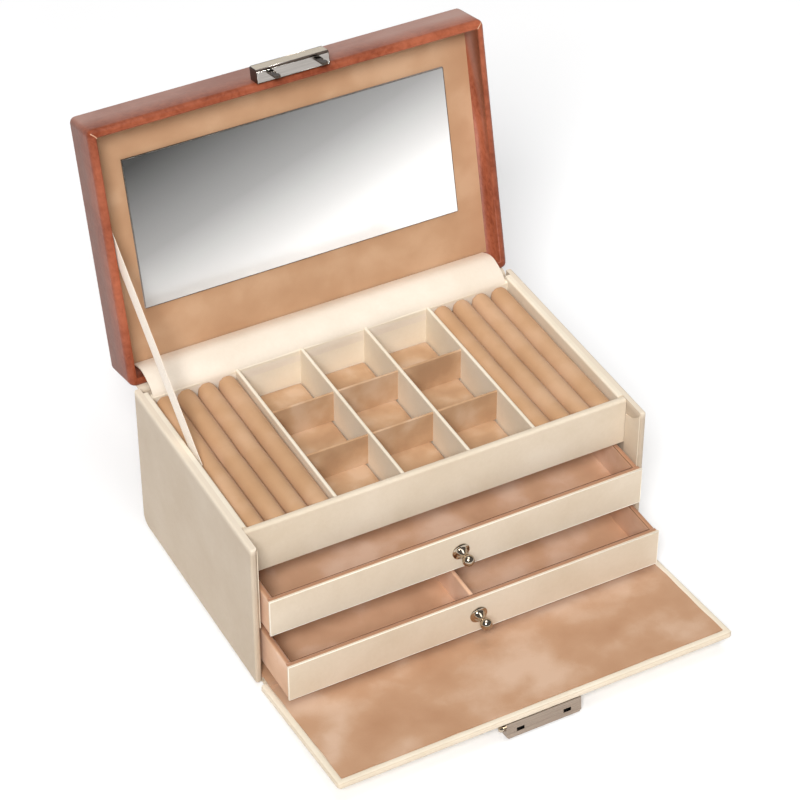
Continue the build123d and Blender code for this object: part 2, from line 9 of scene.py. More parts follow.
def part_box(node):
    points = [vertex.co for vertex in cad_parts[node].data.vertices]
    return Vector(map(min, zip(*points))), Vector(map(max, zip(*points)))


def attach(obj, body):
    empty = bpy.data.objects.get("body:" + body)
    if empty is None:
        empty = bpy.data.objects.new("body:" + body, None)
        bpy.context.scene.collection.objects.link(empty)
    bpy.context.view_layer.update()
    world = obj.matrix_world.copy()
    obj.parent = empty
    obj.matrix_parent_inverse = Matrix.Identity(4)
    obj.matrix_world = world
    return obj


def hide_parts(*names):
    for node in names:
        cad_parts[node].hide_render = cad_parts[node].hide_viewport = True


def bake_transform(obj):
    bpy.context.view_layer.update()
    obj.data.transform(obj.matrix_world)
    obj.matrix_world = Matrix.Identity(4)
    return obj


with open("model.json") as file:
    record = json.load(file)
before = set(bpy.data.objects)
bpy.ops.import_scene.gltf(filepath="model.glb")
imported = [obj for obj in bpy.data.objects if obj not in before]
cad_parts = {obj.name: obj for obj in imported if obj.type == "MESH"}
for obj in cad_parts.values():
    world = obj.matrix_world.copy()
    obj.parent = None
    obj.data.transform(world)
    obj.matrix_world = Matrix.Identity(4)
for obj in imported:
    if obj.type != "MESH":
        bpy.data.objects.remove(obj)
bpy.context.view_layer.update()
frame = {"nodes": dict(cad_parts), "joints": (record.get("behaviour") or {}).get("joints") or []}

nodes = frame["nodes"]


# Studio. A white floor in a dim room with a bright back wall, a soft lamp far off at the front left and
# a weaker one overhead. The camera looks down at the open case from its front left, as in the photograph.

CAMERA_PLACE = Vector((-0.6968, -1.3265, 1.3550))
CAMERA_AIM = Vector((0.0123, 0.0070, 0.1144))
CAMERA_LENS = 127.18
CAMERA_SENSOR = 36.0
FLOOR_HALF = 6.0
FLOOR_DROP = 0.0001
FLOOR_GLOW = 0.10
FLOOR_CLOUD = 3.0
FLOOR_TONES = (240, 240, 240), (243, 243, 243)
ROOM_DIM = 0.14
ROOM_BACK = 0.60
ROOM_BACK_FROM = 0.35
ROOM_BACK_TO = 0.85
ROOM_WHITE = (1.0, 1.0, 1.0, 1.0)
LAMPS = {
    "front_lamp": {"place": Vector((-3.95, -6.14, 6.93)), "size": 3.4, "power": 985.0},
    "high_lamp": {"place": Vector((0.20, -0.30, 4.60)), "size": 2.4, "power": 62.0},
}
TONE_LOW = 0.30
TONE_HIGH = 0.70


def linear(red, green, blue):
    """A colour given from 0 to 255, as a screen shows it, in the shader's linear values."""
    shown = [value / 255 for value in (red, green, blue)]
    return (*[v / 12.92 if v <= 0.04045 else ((v + 0.055) / 1.055) ** 2.4 for v in shown], 1.0)


def lay(tree, kind, sockets=None, **settings):
    """Adds a node to a tree; sockets gives values, or the outputs that feed them."""
    made = tree.nodes.new(kind)
    for name, value in settings.items():
        setattr(made, name, value)
    for name, value in (sockets or {}).items():
        if isinstance(value, bpy.types.NodeSocket):
            tree.links.new(value, made.inputs[name])
        else:
            made.inputs[name].default_value = value
    return made


def tones(tree, factor, *stops):
    """Colours that follow a factor, from (place, colour) stops in rising order."""
    made = lay(tree, "ShaderNodeValToRGB", {"Fac": factor})
    elements = made.color_ramp.elements
    elements[0].position, elements[0].color = stops[0]
    elements[1].position, elements[1].color = stops[-1]
    for place, colour in stops[1:-1]:
        elements.new(place).color = colour
    return made.outputs["Color"]


def two_tone(tree, shader, factor, dark, light):
    """Colours a surface from dark to light over the middle of a factor's range."""
    tree.links.new(tones(tree, factor, (TONE_LOW, dark), (TONE_HIGH, light)), shader.inputs["Base Color"])


def spread(tree, factor, low, high, start=0.0, end=1.0):
    """A factor from start to end spread over another range."""
    sockets = {"Value": factor, "From Min": start, "From Max": end, "To Min": low, "To Max": high}
    return lay(tree, "ShaderNodeMapRange", sockets).outputs["Result"]


def start_finish(name, **sockets):
    """A new material: its tree, its shader with these even values, and its Object coordinates."""
    material = bpy.data.materials.new(name)
    material.use_nodes = True
    tree = material.node_tree
    shader = tree.nodes["Principled BSDF"]
    for socket, value in sockets.items():
        shader.inputs[socket.replace("_", " ")].default_value = value
    place = lay(tree, "ShaderNodeTexCoord").outputs["Object"]
    return material, tree, shader, place


def mottle(tree, place, scale, detail, distortion=0.0):
    """Cloudy noise from 0 to 1 over a surface."""
    made = lay(tree, "ShaderNodeTexNoise",
               {"Vector": place, "Scale": scale, "Detail": detail, "Distortion": distortion})
    return made.outputs["Fac"]


def put_down(name, data):
    """A new object in the scene."""
    made = bpy.data.objects.new(name, data)
    bpy.context.scene.collection.objects.link(made)
    return made


def mesh_piece(name, points, faces, material, smooth=True):
    """A new piece from points and faces, in the case's own frame."""
    mesh = bpy.data.meshes.new(name)
    mesh.from_pydata([tuple(point) for point in points], [], faces)
    mesh.polygons.foreach_set("use_smooth", [smooth] * len(mesh.polygons))
    mesh.materials.append(material)
    return put_down(name, mesh)


def oblong(left, right, near, far):
    """The four corners of an oblong, in order round it."""
    return (left, near), (right, near), (right, far), (left, far)


studio_floor, tree, shader, place = start_finish("studio_floor", Roughness=0.9, Specular_IOR_Level=0.1,
                                                 Emission_Strength=FLOOR_GLOW)
floor_dark, floor_light = [linear(*tone) for tone in FLOOR_TONES]
two_tone(tree, shader, mottle(tree, place, FLOOR_CLOUD, 2.0), floor_dark, floor_light)
floor_corners = [(x, y, -FLOOR_DROP) for x, y in oblong(-FLOOR_HALF, FLOOR_HALF, -FLOOR_HALF, FLOOR_HALF)]
mesh_piece("floor", floor_corners, [(0, 1, 2, 3)], studio_floor)

world = bpy.data.worlds.new("pale_room")
world.use_nodes = True
tree = world.node_tree
way = lay(tree, "ShaderNodeTexCoord").outputs["Generated"]
behind = lay(tree, "ShaderNodeSeparateXYZ", {"Vector": way}).outputs["Y"]
tree.links.new(spread(tree, behind, ROOM_DIM, ROOM_BACK, ROOM_BACK_FROM, ROOM_BACK_TO),
               tree.nodes["Background"].inputs["Strength"])
tree.nodes["Background"].inputs["Color"].default_value = ROOM_WHITE
bpy.context.scene.world = world
bpy.context.scene.view_settings.view_transform = "Standard"

for name, lamp in LAMPS.items():
    light = bpy.data.lights.new(name, "AREA")
    light.energy = lamp["power"]
    light.size = lamp["size"]
    stand = put_down(name, light)
    stand.location = lamp["place"]
    stand.rotation_euler = (CAMERA_AIM - lamp["place"]).to_track_quat("-Z", "Y").to_euler()

camera = put_down("camera", bpy.data.cameras.new("camera"))
camera.data.lens = CAMERA_LENS
camera.data.sensor_width = CAMERA_SENSOR
camera.location = CAMERA_PLACE
camera.rotation_euler = (CAMERA_AIM - CAMERA_PLACE).to_track_quat("-Z", "Y").to_euler()
bpy.context.scene.camera = camera


# Bottom pad and runners. The pad of dark felted board closes the underside; two rails of planed
# beech inside the case carry the lower drawer, and a frame of the same wood stands in the lid.

BEECH_DARK = linear(160, 122, 84)
BEECH_LIGHT = linear(188, 150, 108)
BEECH_STRETCH = (60.0, 6.0, 60.0)
BEECH_FIBRE = 8.0
BEECH_RELIEF = (0.2, 0.0002)
FELT_DARK = linear(88, 66, 52)
FELT_LIGHT = linear(110, 86, 70)
FELT_FUZZ = 900.0
FELT_RELIEF = (0.5, 0.0003)


def emboss(tree, shader, *layers):
    """Raises a surface by layers of (height, strength, depth in metres), one over the other."""
    normal = None
    for height, strength, depth in layers:
        sockets = {"Height": height, "Strength": strength, "Distance": depth}
        if normal is not None:
            sockets["Normal"] = normal
        normal = lay(tree, "ShaderNodeBump", sockets).outputs["Normal"]
    tree.links.new(normal, shader.inputs["Normal"])


def cover(material, *names):
    """Gives CAD nodes their finish."""
    for name in names:
        mesh = nodes[name].data
        mesh.materials.clear()
        mesh.materials.append(material)


planed_beech, tree, shader, place = start_finish("planed_beech", Roughness=0.7)
grain = lay(tree, "ShaderNodeMapping", {"Vector": place, "Scale": BEECH_STRETCH}).outputs["Vector"]
fibre = mottle(tree, grain, BEECH_FIBRE, 5.0, 0.8)
two_tone(tree, shader, fibre, BEECH_DARK, BEECH_LIGHT)
emboss(tree, shader, (fibre, *BEECH_RELIEF))
cover(planed_beech, "drawer_runners", "lid_frame")

felted_board, tree, shader, place = start_finish("felted_board", Roughness=1.0, Specular_IOR_Level=0.1)
fuzz = mottle(tree, place, FELT_FUZZ, 4.0)
two_tone(tree, shader, fuzz, FELT_DARK, FELT_LIGHT)
emboss(tree, shader, (fuzz, *FELT_RELIEF))
cover(felted_board, "bottom_pad")


# Case boards. Base, side and back boards, drawer shelf and tray walls of fibreboard, each wrapped in
# thin cream leather that is glued down and turned over the edges. The walls and base take a darker copy
# of the cream, painted shade, with a painted highlight along the walls' tops; the tray's walls and
# dividers take a paler copy, painted light.

CREAM_PORE = 0.0010
CREAM_GLAZE = (0.42, 0.58)
CREAM_CLOUD = 22.0
CREAM_RELIEF = 1.6
CREAM_LIGHT = linear(224, 210, 190)
CREAM_DARK = linear(214, 198, 175)
# A darker copy of the cream for the walls and base: painted shade.
CREAM_SHADED_LIGHT = linear(197, 181, 161)
CREAM_SHADED_DARK = linear(189, 171, 149)
# How far down the painted highlight along the walls' top edges fades.
WALL_TOP_HIGHLIGHT_FADE = 0.005
# A paler copy of the cream for the tray's walls, dividers and the flap's welt: painted light.
CREAM_LIT_LIGHT = linear(236, 225, 206)
CREAM_LIT_DARK = linear(228, 215, 193)
LEATHER_GLOSS = 0.25
CREASE_SHARE = 0.35
CREASE_FLECK = 0.14
CREASE_RELIEF = 0.25
CREASE_DEPTH = 0.00012
PORE_RELIEF = 0.22
PORE_DEPTH = 0.00010
CRISP_ANGLE = math.radians(50)
TURN_IN = 0.0006
TURN_IN_FOOT = 0.052
TURN_IN_FRONT = 0.1208
TURN_IN_BACK = 0.1105
TURN_IN_MARGIN = 0.0006
TURN_IN_STEPS = 16


def sum_up(tree, operation, first, second=0.0):
    """One step of arithmetic on two values of a surface."""
    return lay(tree, "ShaderNodeMath", {0: first, 1: second}, operation=operation).outputs["Value"]


def mixed(tree, share, first, second):
    """One colour that gives way to another."""
    return lay(tree, "ShaderNodeMixRGB", {"Fac": share, "Color1": first, "Color2": second}).outputs["Color"]


# Gives the walls' painted highlight at their tops and the drawers' darker top edges.
def tone_at_top(tree, place, colour, level, fade, tone):
    """A colour that turns to another tone just under a height."""
    height = lay(tree, "ShaderNodeSeparateXYZ", {"Vector": place}).outputs["Z"]
    return mixed(tree, spread(tree, height, 0.0, 1.0, level - fade, level), colour, tone)


def leather(name, dark, light, pore=CREAM_PORE, glaze=CREAM_GLAZE, cloud=CREAM_CLOUD, relief=1.0,
            fleck=CREASE_FLECK, top_tone=None, painted_sheen=None):
    """Glazed leather: fine pores, faint creases and slow changes of tone and gloss.
    The top-edge argument gives the height, depth and tone of a painted highlight along upper edges;
    the sheen argument lays a painted sheen over the colour."""
    material, tree, shader, place = start_finish(name, Specular_IOR_Level=LEATHER_GLOSS)
    patches = mottle(tree, place, cloud, 4.0, 0.3)
    pores = lay(tree, "ShaderNodeTexVoronoi", {"Vector": place, "Scale": 1 / pore, "Randomness": 1.0},
                feature="SMOOTH_F1").outputs["Distance"]
    creases = mottle(tree, place, CREASE_SHARE / pore, 5.0, 0.6)
    grain = sum_up(tree, "ADD", patches, spread(tree, creases, -fleck, fleck))
    colour = tones(tree, grain, (TONE_LOW, dark), (TONE_HIGH, light))
    if painted_sheen:
        colour = painted_sheen(tree, place, patches, colour)
    if top_tone:
        colour = tone_at_top(tree, place, colour, *top_tone)
    tree.links.new(colour, shader.inputs["Base Color"])
    wear = mottle(tree, place, 5 * cloud, 5.0)
    tree.links.new(spread(tree, wear, *glaze), shader.inputs["Roughness"])
    emboss(tree, shader, (creases, CREASE_RELIEF * relief, CREASE_DEPTH),
           (pores, PORE_RELIEF * relief, PORE_DEPTH))
    return material


def plain_mesh(piece):
    """Turns what an object's modifiers make of it into its own plain mesh."""
    graph = bpy.context.evaluated_depsgraph_get()
    mesh = bpy.data.meshes.new_from_object(piece.evaluated_get(graph))
    piece.modifiers.clear()
    piece.data = mesh
    return piece


def thicken(piece, thickness):
    """Gives a thin sheet its thickness and keeps its cut edges crisp."""
    wall = piece.modifiers.new("thickness", "SOLIDIFY")
    wall.thickness = thickness
    wall.offset = 0.0
    plain_mesh(piece)
    piece.data.set_sharp_from_angle(angle=CRISP_ANGLE)
    return piece


def net(rows, columns, turned=False):
    """Faces of a net of points that are laid row by row; turned ones look the other way."""
    across = columns + 1
    corners = (0, across, across + 1, 1) if turned else (0, 1, across + 1, across)
    return [tuple(row * across + column + corner for corner in corners)
            for row in range(rows) for column in range(columns)]


cream_leather = leather("cream_leather", CREAM_DARK, CREAM_LIGHT, relief=CREAM_RELIEF)
cream_painted_light = leather("cream_painted_light", CREAM_LIT_DARK, CREAM_LIT_LIGHT, relief=CREAM_RELIEF)
# Walls and base: the darker copy, painted shade, with a painted highlight at the walls' tops.
cream_painted_shade = leather("cream_painted_shade", CREAM_SHADED_DARK, CREAM_SHADED_LIGHT, relief=CREAM_RELIEF,
                       top_tone=(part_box("left_wall")[1].z, WALL_TOP_HIGHLIGHT_FADE, CREAM_LIGHT))
cover(cream_leather, "drawer_shelf", "tray_front")
cover(cream_painted_shade, "left_wall", "right_wall", "back_wall", "base_board")
# Tray walls and dividers: the paler copy of the cream, painted light.
cover(cream_painted_light, "tray_rear", "tray_left_side", "tray_right_side",
      "divider_1", "divider_2", "divider_3", "divider_4")

wall_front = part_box("right_wall")[0].y + TURN_IN_MARGIN
wall_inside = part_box("right_wall")[0].x
tray_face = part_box("tray_front")[0].y - TURN_IN_MARGIN
for side, reach in (("left", -wall_inside), ("right", wall_inside)):
    inward = -math.copysign(TURN_IN, reach) / 2
    points = []
    for step in range(TURN_IN_STEPS + 1):
        share = step / TURN_IN_STEPS
        top = TURN_IN_BACK + (TURN_IN_FRONT - TURN_IN_BACK) * (1 - share) ** 2
        y = wall_front + share * (tray_face - wall_front)
        points += [(reach + inward, y, TURN_IN_FOOT), (reach + inward, y, top)]
    faces = net(TURN_IN_STEPS, 1, turned=True)
    turn_in = thicken(mesh_piece(f"{side}_wall_turn_in", points, faces, cream_leather), TURN_IN)
    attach(turn_in, "case")


# Suede linings. Microfibre suede on the case's floor and the tray's floor, with a short nap that has
# been stroked both ways and so shows pale and dark clouds.

SUEDE_TONES = linear(176, 132, 99), linear(188, 147, 115), linear(207, 174, 148)
SUEDE_STOPS = (0.30, 0.50, 0.68)
SUEDE_CLOUD = 20.0
SUEDE_SHEEN = 0.18
SUEDE_NAP = 0.0005
STROKE_TONE = 0.07
STROKE_RELIEF = (0.10, 0.0004)
FIBRE_TONE = 0.05
FIBRE_RELIEF = (0.30, 0.00015)
LINING_COLUMNS = 60
LINING_STEPS = 24
RIPPLES = ((1.0, 61, 0.7), (0.6, 143, 2.1))


def suede(name, shades, cloud, sheen=SUEDE_SHEEN, top_tone=None):
    """Suede: clouds from dark to light where the nap lies one way or the other, and a fine grain.
    The top-edge argument gives the height, depth and tone of a darker band along upper edges."""
    material, tree, shader, place = start_finish(name, Roughness=0.95, Specular_IOR_Level=0.12,
                                                 Sheen_Weight=sheen, Sheen_Roughness=0.5)
    clouds = mottle(tree, place, cloud, 1.6, 0.25)
    strokes = mottle(tree, place, 5 * cloud, 3.0, 0.4)
    fibres = mottle(tree, place, 1 / SUEDE_NAP, 2.0)
    nap = sum_up(tree, "ADD", clouds, spread(tree, strokes, -STROKE_TONE, STROKE_TONE))
    nap = sum_up(tree, "ADD", nap, spread(tree, fibres, -FIBRE_TONE, FIBRE_TONE))
    colour = tones(tree, nap, *zip(SUEDE_STOPS, shades))
    if top_tone:
        colour = tone_at_top(tree, place, colour, *top_tone)
    tree.links.new(colour, shader.inputs["Base Color"])
    emboss(tree, shader, (strokes, *STROKE_RELIEF), (fibres, *FIBRE_RELIEF))
    return material


def flowing(stops, steps):
    """Points along a smooth line through the stops."""
    ends = [2 * stops[0] - stops[1], *stops, 2 * stops[-1] - stops[-2]]
    line = []
    for a, b, c, d in zip(ends, ends[1:], ends[2:], ends[3:]):
        for step in range(steps):
            t = step / steps
            line.append(b + 0.5 * t * (c - a + t * (2 * a - 5 * b + 4 * c - d + t * (3 * (b - c) + d - a))))
    return [*line, stops[-1]]


def waved(place, waves):
    """The height of waves of (height, count, start) laid over one another."""
    return sum(height * math.sin(count * place + start) for height, count, start in waves)


def band(name, line, half, thickness, material, ripple=0.0):
    """A soft strip right across the case, along a line of (y, z) points, waved a little over its width."""
    rows = len(line)
    points = []
    for row, here in enumerate(line):
        ahead = line[min(row + 1, rows - 1)] - line[max(row - 1, 0)]
        out = Vector((-ahead.y, ahead.x)).normalized()
        swell = ripple * math.sin(math.pi * row / (rows - 1))
        for column in range(LINING_COLUMNS + 1):
            x = half * (2 * column / LINING_COLUMNS - 1)
            spot = here + swell * waved(x, RIPPLES) * out
            points.append((x, spot.x, spot.y))
    faces = net(rows - 1, LINING_COLUMNS, turned=True)
    return thicken(mesh_piece(name, points, faces, material), thickness)


tan_suede = suede("tan_suede", SUEDE_TONES, SUEDE_CLOUD)
cover(tan_suede, "tray_floor")

low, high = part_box("floor_lining")
lining_height = (low.z + high.z) / 2
floor_line = flowing([Vector((low.y, lining_height)), Vector((high.y, lining_height))], LINING_STEPS)
floor_suede = band("floor_suede", floor_line, high.x, high.z - low.z, tan_suede)
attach(floor_suede, "case")
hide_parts("floor_lining")


# Compartment pads. Three long foam pads under suede, one in each column of the tray, with a soft crown
# in every compartment. Cross dividers of suede-covered board stand on them.

PAD_TONES = linear(174, 136, 102), linear(188, 151, 116), linear(200, 168, 138)
PAD_CLOUD = 42.0
PAD_COUNT = 3
PAD_COLUMNS = 24
PAD_ROWS = 90
PAD_SEAM = 0.0003
PAD_CROWN = 0.0007
PAD_EDGE = 24
PAD_SINK = 0.00005


def node_tree(name, *inputs):
    """A Geometry Nodes tree with named inputs; gives the tree, its inputs' node and identifiers."""
    tree = bpy.data.node_groups.new(name, "GeometryNodeTree")
    for way in ("INPUT", "OUTPUT"):
        tree.interface.new_socket("Geometry", in_out=way, socket_type="NodeSocketGeometry")
    keys = {}
    for label, kind in inputs:
        keys[label] = tree.interface.new_socket(label, in_out="INPUT", socket_type=kind).identifier
    return tree, lay(tree, "NodeGroupInput").outputs, keys


def row_of(tree, given, first, pitch):
    """A row of points in a tree, from the inputs of these names."""
    sockets = {"Count": given["Count"], "Start Location": given[first], "Offset": given[pitch]}
    return lay(tree, "GeometryNodeMeshLine", sockets).outputs["Mesh"]


def close_tree(tree, instances, material):
    """Ends a tree: instances become real and take their material."""
    real = lay(tree, "GeometryNodeRealizeInstances", {"Geometry": instances}).outputs["Geometry"]
    done = lay(tree, "GeometryNodeSetMaterial", {"Geometry": real, "Material": material})
    lay(tree, "NodeGroupOutput", {"Geometry": done.outputs["Geometry"]})


def grow(piece, tree, keys, **values):
    """Runs a tree on an object with these inputs and keeps the result as its plain mesh."""
    modifier = piece.modifiers.new(tree.name, "NODES")
    modifier.node_group = tree
    for label, value in values.items():
        modifier[keys[label]] = value
    return plain_mesh(piece)


def pad_edge(share):
    """How full a pad is at a share of the way from its middle to its edge."""
    return math.sqrt(1 - abs(share) ** PAD_EDGE)


pad_suede = suede("pad_suede", PAD_TONES, PAD_CLOUD)
cover(pad_suede, "cross_dividers")
low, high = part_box("tray_mats")
column_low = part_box("divider_2")[1].x
column_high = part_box("divider_3")[0].x
column_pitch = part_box("divider_3")[0].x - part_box("divider_2")[0].x
row_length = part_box("cross_dividers")[0].y - low.y
row_pitch = (high.y - low.y - row_length) / 2
pad_half = (column_high - column_low) / 2 - PAD_SEAM
pad_reach = (high.y - low.y) / 2 - PAD_SEAM
pad_body = high.z - low.z - PAD_SINK

points = []
for row in range(PAD_ROWS + 1):
    along = math.sin(math.pi * (row / PAD_ROWS - 0.5))
    y = pad_reach * along
    from_middle = min(abs(y - row_pitch * cell) for cell in (-1, 0, 1)) / (row_length / 2)
    dome = max(0.0, 1 - from_middle ** 2)
    for column in range(PAD_COLUMNS + 1):
        aside = math.sin(math.pi * (column / PAD_COLUMNS - 0.5))
        height = pad_body * pad_edge(along) * pad_edge(aside) + PAD_CROWN * dome * (1 - aside ** 2)
        points.append((pad_half * aside, y, height))
across = PAD_COLUMNS + 1
border = [*range(across), *range(2 * across - 1, across * PAD_ROWS, across),
          *range(across * (PAD_ROWS + 1) - 1, across * PAD_ROWS - 1, -1),
          *range(across * (PAD_ROWS - 1), 0, -across)]
faces = [*net(PAD_ROWS, PAD_COLUMNS), tuple(reversed(border))]
compartment_pads = mesh_piece("compartment_pads", points, faces, pad_suede)
tree, given, keys = node_tree("row_of_pads", ("First", "NodeSocketVector"), ("Pitch", "NodeSocketVector"),
                              ("Count", "NodeSocketInt"))
pad_row = row_of(tree, given, "First", "Pitch")
pads = lay(tree, "GeometryNodeInstanceOnPoints", {"Points": pad_row, "Instance": given["Geometry"]})
close_tree(tree, pads.outputs["Instances"], pad_suede)
grow(compartment_pads, tree, keys, First=(-column_pitch, (low.y + high.y) / 2, low.z),
     Pitch=(column_pitch, 0.0, 0.0), Count=PAD_COUNT)
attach(compartment_pads, "case")
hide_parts("tray_mats")


# Ring rolls. Eight long foam rolls under stretched suede, four at each end of the tray, pressed in
# side by side so that rings hold in the gaps between them.

ROLL_TONES = linear(185, 144, 106), linear(192, 152, 115), linear(200, 162, 128)
ROLL_CLOUD = 30.0
ROLL_SHEEN = 0.10
ROLL_SAMPLE = "ring_roll_left_1"
ROLL_COUNT = 4
ROLL_SHRINK = 0.0004
ROLL_WELD = 1e-6
ROLL_VOXEL = 0.0025
ROLL_PRESSURE = 4.0
ROLL_SWELL = 0.0005
ROLL_STEPS = 20
ROLL_PIN = 0.004
ROLL_LEAN = 0.0012
ROLL_SEED = 7

roll_suede = suede("roll_suede", ROLL_TONES, ROLL_CLOUD, ROLL_SHEEN)

low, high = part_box(ROLL_SAMPLE)
roll_middle = (low + high) / 2
roll_foot = Vector((roll_middle.x, roll_middle.y, low.z))
roll_pitch = abs(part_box("ring_roll_left_2")[0].x - low.x)
roll_mesh = nodes[ROLL_SAMPLE].data.copy()
roll_mesh.transform(Matrix.Translation(-roll_foot))
shaping = bmesh.new()
shaping.from_mesh(roll_mesh)
bmesh.ops.remove_doubles(shaping, verts=shaping.verts, dist=ROLL_WELD)
for point in shaping.verts:
    for axis, size in enumerate(high - low):
        point.co[axis] *= 1 - 2 * ROLL_SHRINK / size
shaping.to_mesh(roll_mesh)
shaping.free()
ring_rolls = put_down("ring_rolls", roll_mesh)
roll_mesh.materials.clear()
remesh = ring_rolls.modifiers.new("even_mesh", "REMESH")
remesh.mode = "VOXEL"
remesh.voxel_size = ROLL_VOXEL
plain_mesh(ring_rolls)
flat_roll = [point.co.copy() for point in ring_rolls.data.vertices]
foot = ring_rolls.vertex_groups.new(name="foot")
foot.add([i for i, point in enumerate(flat_roll) if point.z < ROLL_PIN], 1.0, "REPLACE")
cloth = ring_rolls.modifiers.new("stuffing", "CLOTH")
cloth.settings.use_pressure = True
cloth.settings.uniform_pressure_force = ROLL_PRESSURE
cloth.settings.vertex_group_mass = "foot"
cloth.settings.effector_weights.gravity = 0.0
cloth.point_cache.frame_start = 1
cloth.point_cache.frame_end = ROLL_STEPS
for step in range(1, ROLL_STEPS + 1):
    bpy.context.scene.frame_set(step)
plain_mesh(ring_rolls)
bpy.context.scene.frame_set(1)
for point, start in zip(ring_rolls.data.vertices, flat_roll):
    move = point.co - start
    if move.length > ROLL_SWELL:
        point.co = start + move.normalized() * ROLL_SWELL
smooth_roll = ring_rolls.modifiers.new("smooth", "SUBSURF")
smooth_roll.levels = smooth_roll.render_levels = 1
plain_mesh(ring_rolls)
for point in ring_rolls.data.vertices:
    point.co.z = max(point.co.z, 0.0)
ring_rolls.data.polygons.foreach_set("use_smooth", [True] * len(ring_rolls.data.polygons))

tree, given, keys = node_tree("rows_of_rolls", ("First", "NodeSocketVector"), ("Pitch", "NodeSocketVector"),
                              ("Opposite", "NodeSocketVector"), ("Opposite Pitch", "NodeSocketVector"),
                              ("Count", "NodeSocketInt"))
rows = [row_of(tree, given, "First", "Pitch"), row_of(tree, given, "Opposite", "Opposite Pitch")]
both = lay(tree, "GeometryNodeJoinGeometry")
for row in rows:
    tree.links.new(row, both.inputs["Geometry"])
lean = lay(tree, "FunctionNodeRandomValue",
           {"Min": (0.0, 0.0, -ROLL_LEAN), "Max": (0.0, 0.0, ROLL_LEAN), "Seed": ROLL_SEED},
           data_type="FLOAT_VECTOR").outputs["Value"]
stood = lay(tree, "GeometryNodeInstanceOnPoints",
            {"Points": both.outputs["Geometry"], "Instance": given["Geometry"], "Rotation": lean})
close_tree(tree, stood.outputs["Instances"], roll_suede)
grow(ring_rolls, tree, keys, First=tuple(roll_foot), Pitch=(-roll_pitch, 0.0, 0.0),
     Opposite=(-roll_foot.x, roll_foot.y, roll_foot.z), Count=ROLL_COUNT,
     **{"Opposite Pitch": (roll_pitch, 0.0, 0.0)})
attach(ring_rolls, "case")
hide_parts(*[f"ring_roll_{side}_{number}" for side in ("left", "right")
                          for number in range(1, ROLL_COUNT + 1)])


# Drawers. Boxes of board lined with suede that is folded over the top edges; the lining is a lighter
# copy of the suede, painted light against the shade inside, darker along the top edges, with a dark
# cord along the inner top edges as a painted shadow line. Each has a front plate in cream leather with
# a pale cut edge and a painted highlight along it, glued on, and a steel screw through the front from
# inside that holds the knob. A board in a still lighter suede, painted light, parts the lower drawer.

# Lighter than the case's suede: painted light against the shade inside the boxes.
DRAWER_LIT_TONES = linear(201, 156, 122), linear(213, 169, 135), linear(229, 194, 167)
DRAWER_CLOUD = 26.0
# Darker tone along the lining's top edges, and how far down it reaches.
DRAWER_TOP_DARK = linear(172, 126, 96)
DRAWER_TOP_DARK_DEPTH = 0.0010
# Lighter still for the lower drawer's parting board: painted light.
PARTING_LIT_TONES = linear(222, 176, 142), linear(232, 188, 154), linear(240, 204, 176)
BOX_WALL = 0.0040
# A dark brown cord along the lining's inner top edges: a painted shadow line.
SHADOW_LINE_DARK = linear(112, 76, 52)
SHADOW_LINE_LIGHT = linear(134, 94, 66)
SHADOW_LINE_GLAZE = (0.7, 0.85)
SHADOW_LINE_CLOUD = 60.0
SHADOW_LINE_RADIUS = 0.00026
SHADOW_LINE_SET = 0.0004
# Near-white cord round the plates' top and sides: a pale cut edge with a painted highlight.
EDGE_HIGHLIGHT_DARK = linear(246, 238, 222)
EDGE_HIGHLIGHT_LIGHT = linear(252, 246, 234)
EDGE_GLAZE = (0.4, 0.55)
EDGE_CLOUD = 30.0
EDGE_RADIUS = 0.00036
EDGE_SINK = 0.00020
STEEL_DARK = linear(140, 138, 136)
STEEL_LIGHT = linear(176, 174, 172)
STEEL_SCUFF = 1500.0
STEEL_POLISH = (0.25, 0.45)
CORD_SIDES = 10


def trim(name, routes, radius, material, closed=False):
    """Thin round cords along routes of points, as one piece."""
    points = [point for route in routes for point in route]
    edges, first = [], 0
    for route in routes:
        last = first + len(route) - 1
        edges += [(i, i + 1) for i in range(first, last)] + ([(last, first)] if closed else [])
        first = last + 1
    mesh = bpy.data.meshes.new(name)
    mesh.from_pydata([tuple(point) for point in points], edges, [])
    tree, given, keys = node_tree(f"{name}_cord", ("Radius", "NodeSocketFloat"))
    path = lay(tree, "GeometryNodeMeshToCurve", {"Mesh": given["Geometry"]}).outputs["Curve"]
    ring = lay(tree, "GeometryNodeCurvePrimitiveCircle",
               {"Resolution": CORD_SIDES, "Radius": given["Radius"]}).outputs["Curve"]
    cord = lay(tree, "GeometryNodeCurveToMesh",
               {"Curve": path, "Profile Curve": ring, "Fill Caps": True}).outputs["Mesh"]
    smooth = lay(tree, "GeometryNodeSetShadeSmooth", {"Geometry": cord}).outputs["Geometry"]
    close_tree(tree, smooth, material)
    return grow(put_down(name, mesh), tree, keys, Radius=radius)


def polished(name, scuff, dark, light, polish):
    """Metal whose tone and polish change a little from place to place."""
    material, tree, shader, place = start_finish(name, Metallic=1.0)
    scuffs = mottle(tree, place, scuff, 3.0)
    two_tone(tree, shader, scuffs, dark, light)
    tree.links.new(spread(tree, scuffs, *polish), shader.inputs["Roughness"])
    return material


def three_sides(left, right, foot, top):
    """The corners on the way up one side, across the top and down the other."""
    return [Vector(spot) for spot in ((left, foot), (left, top), (right, top), (right, foot))]


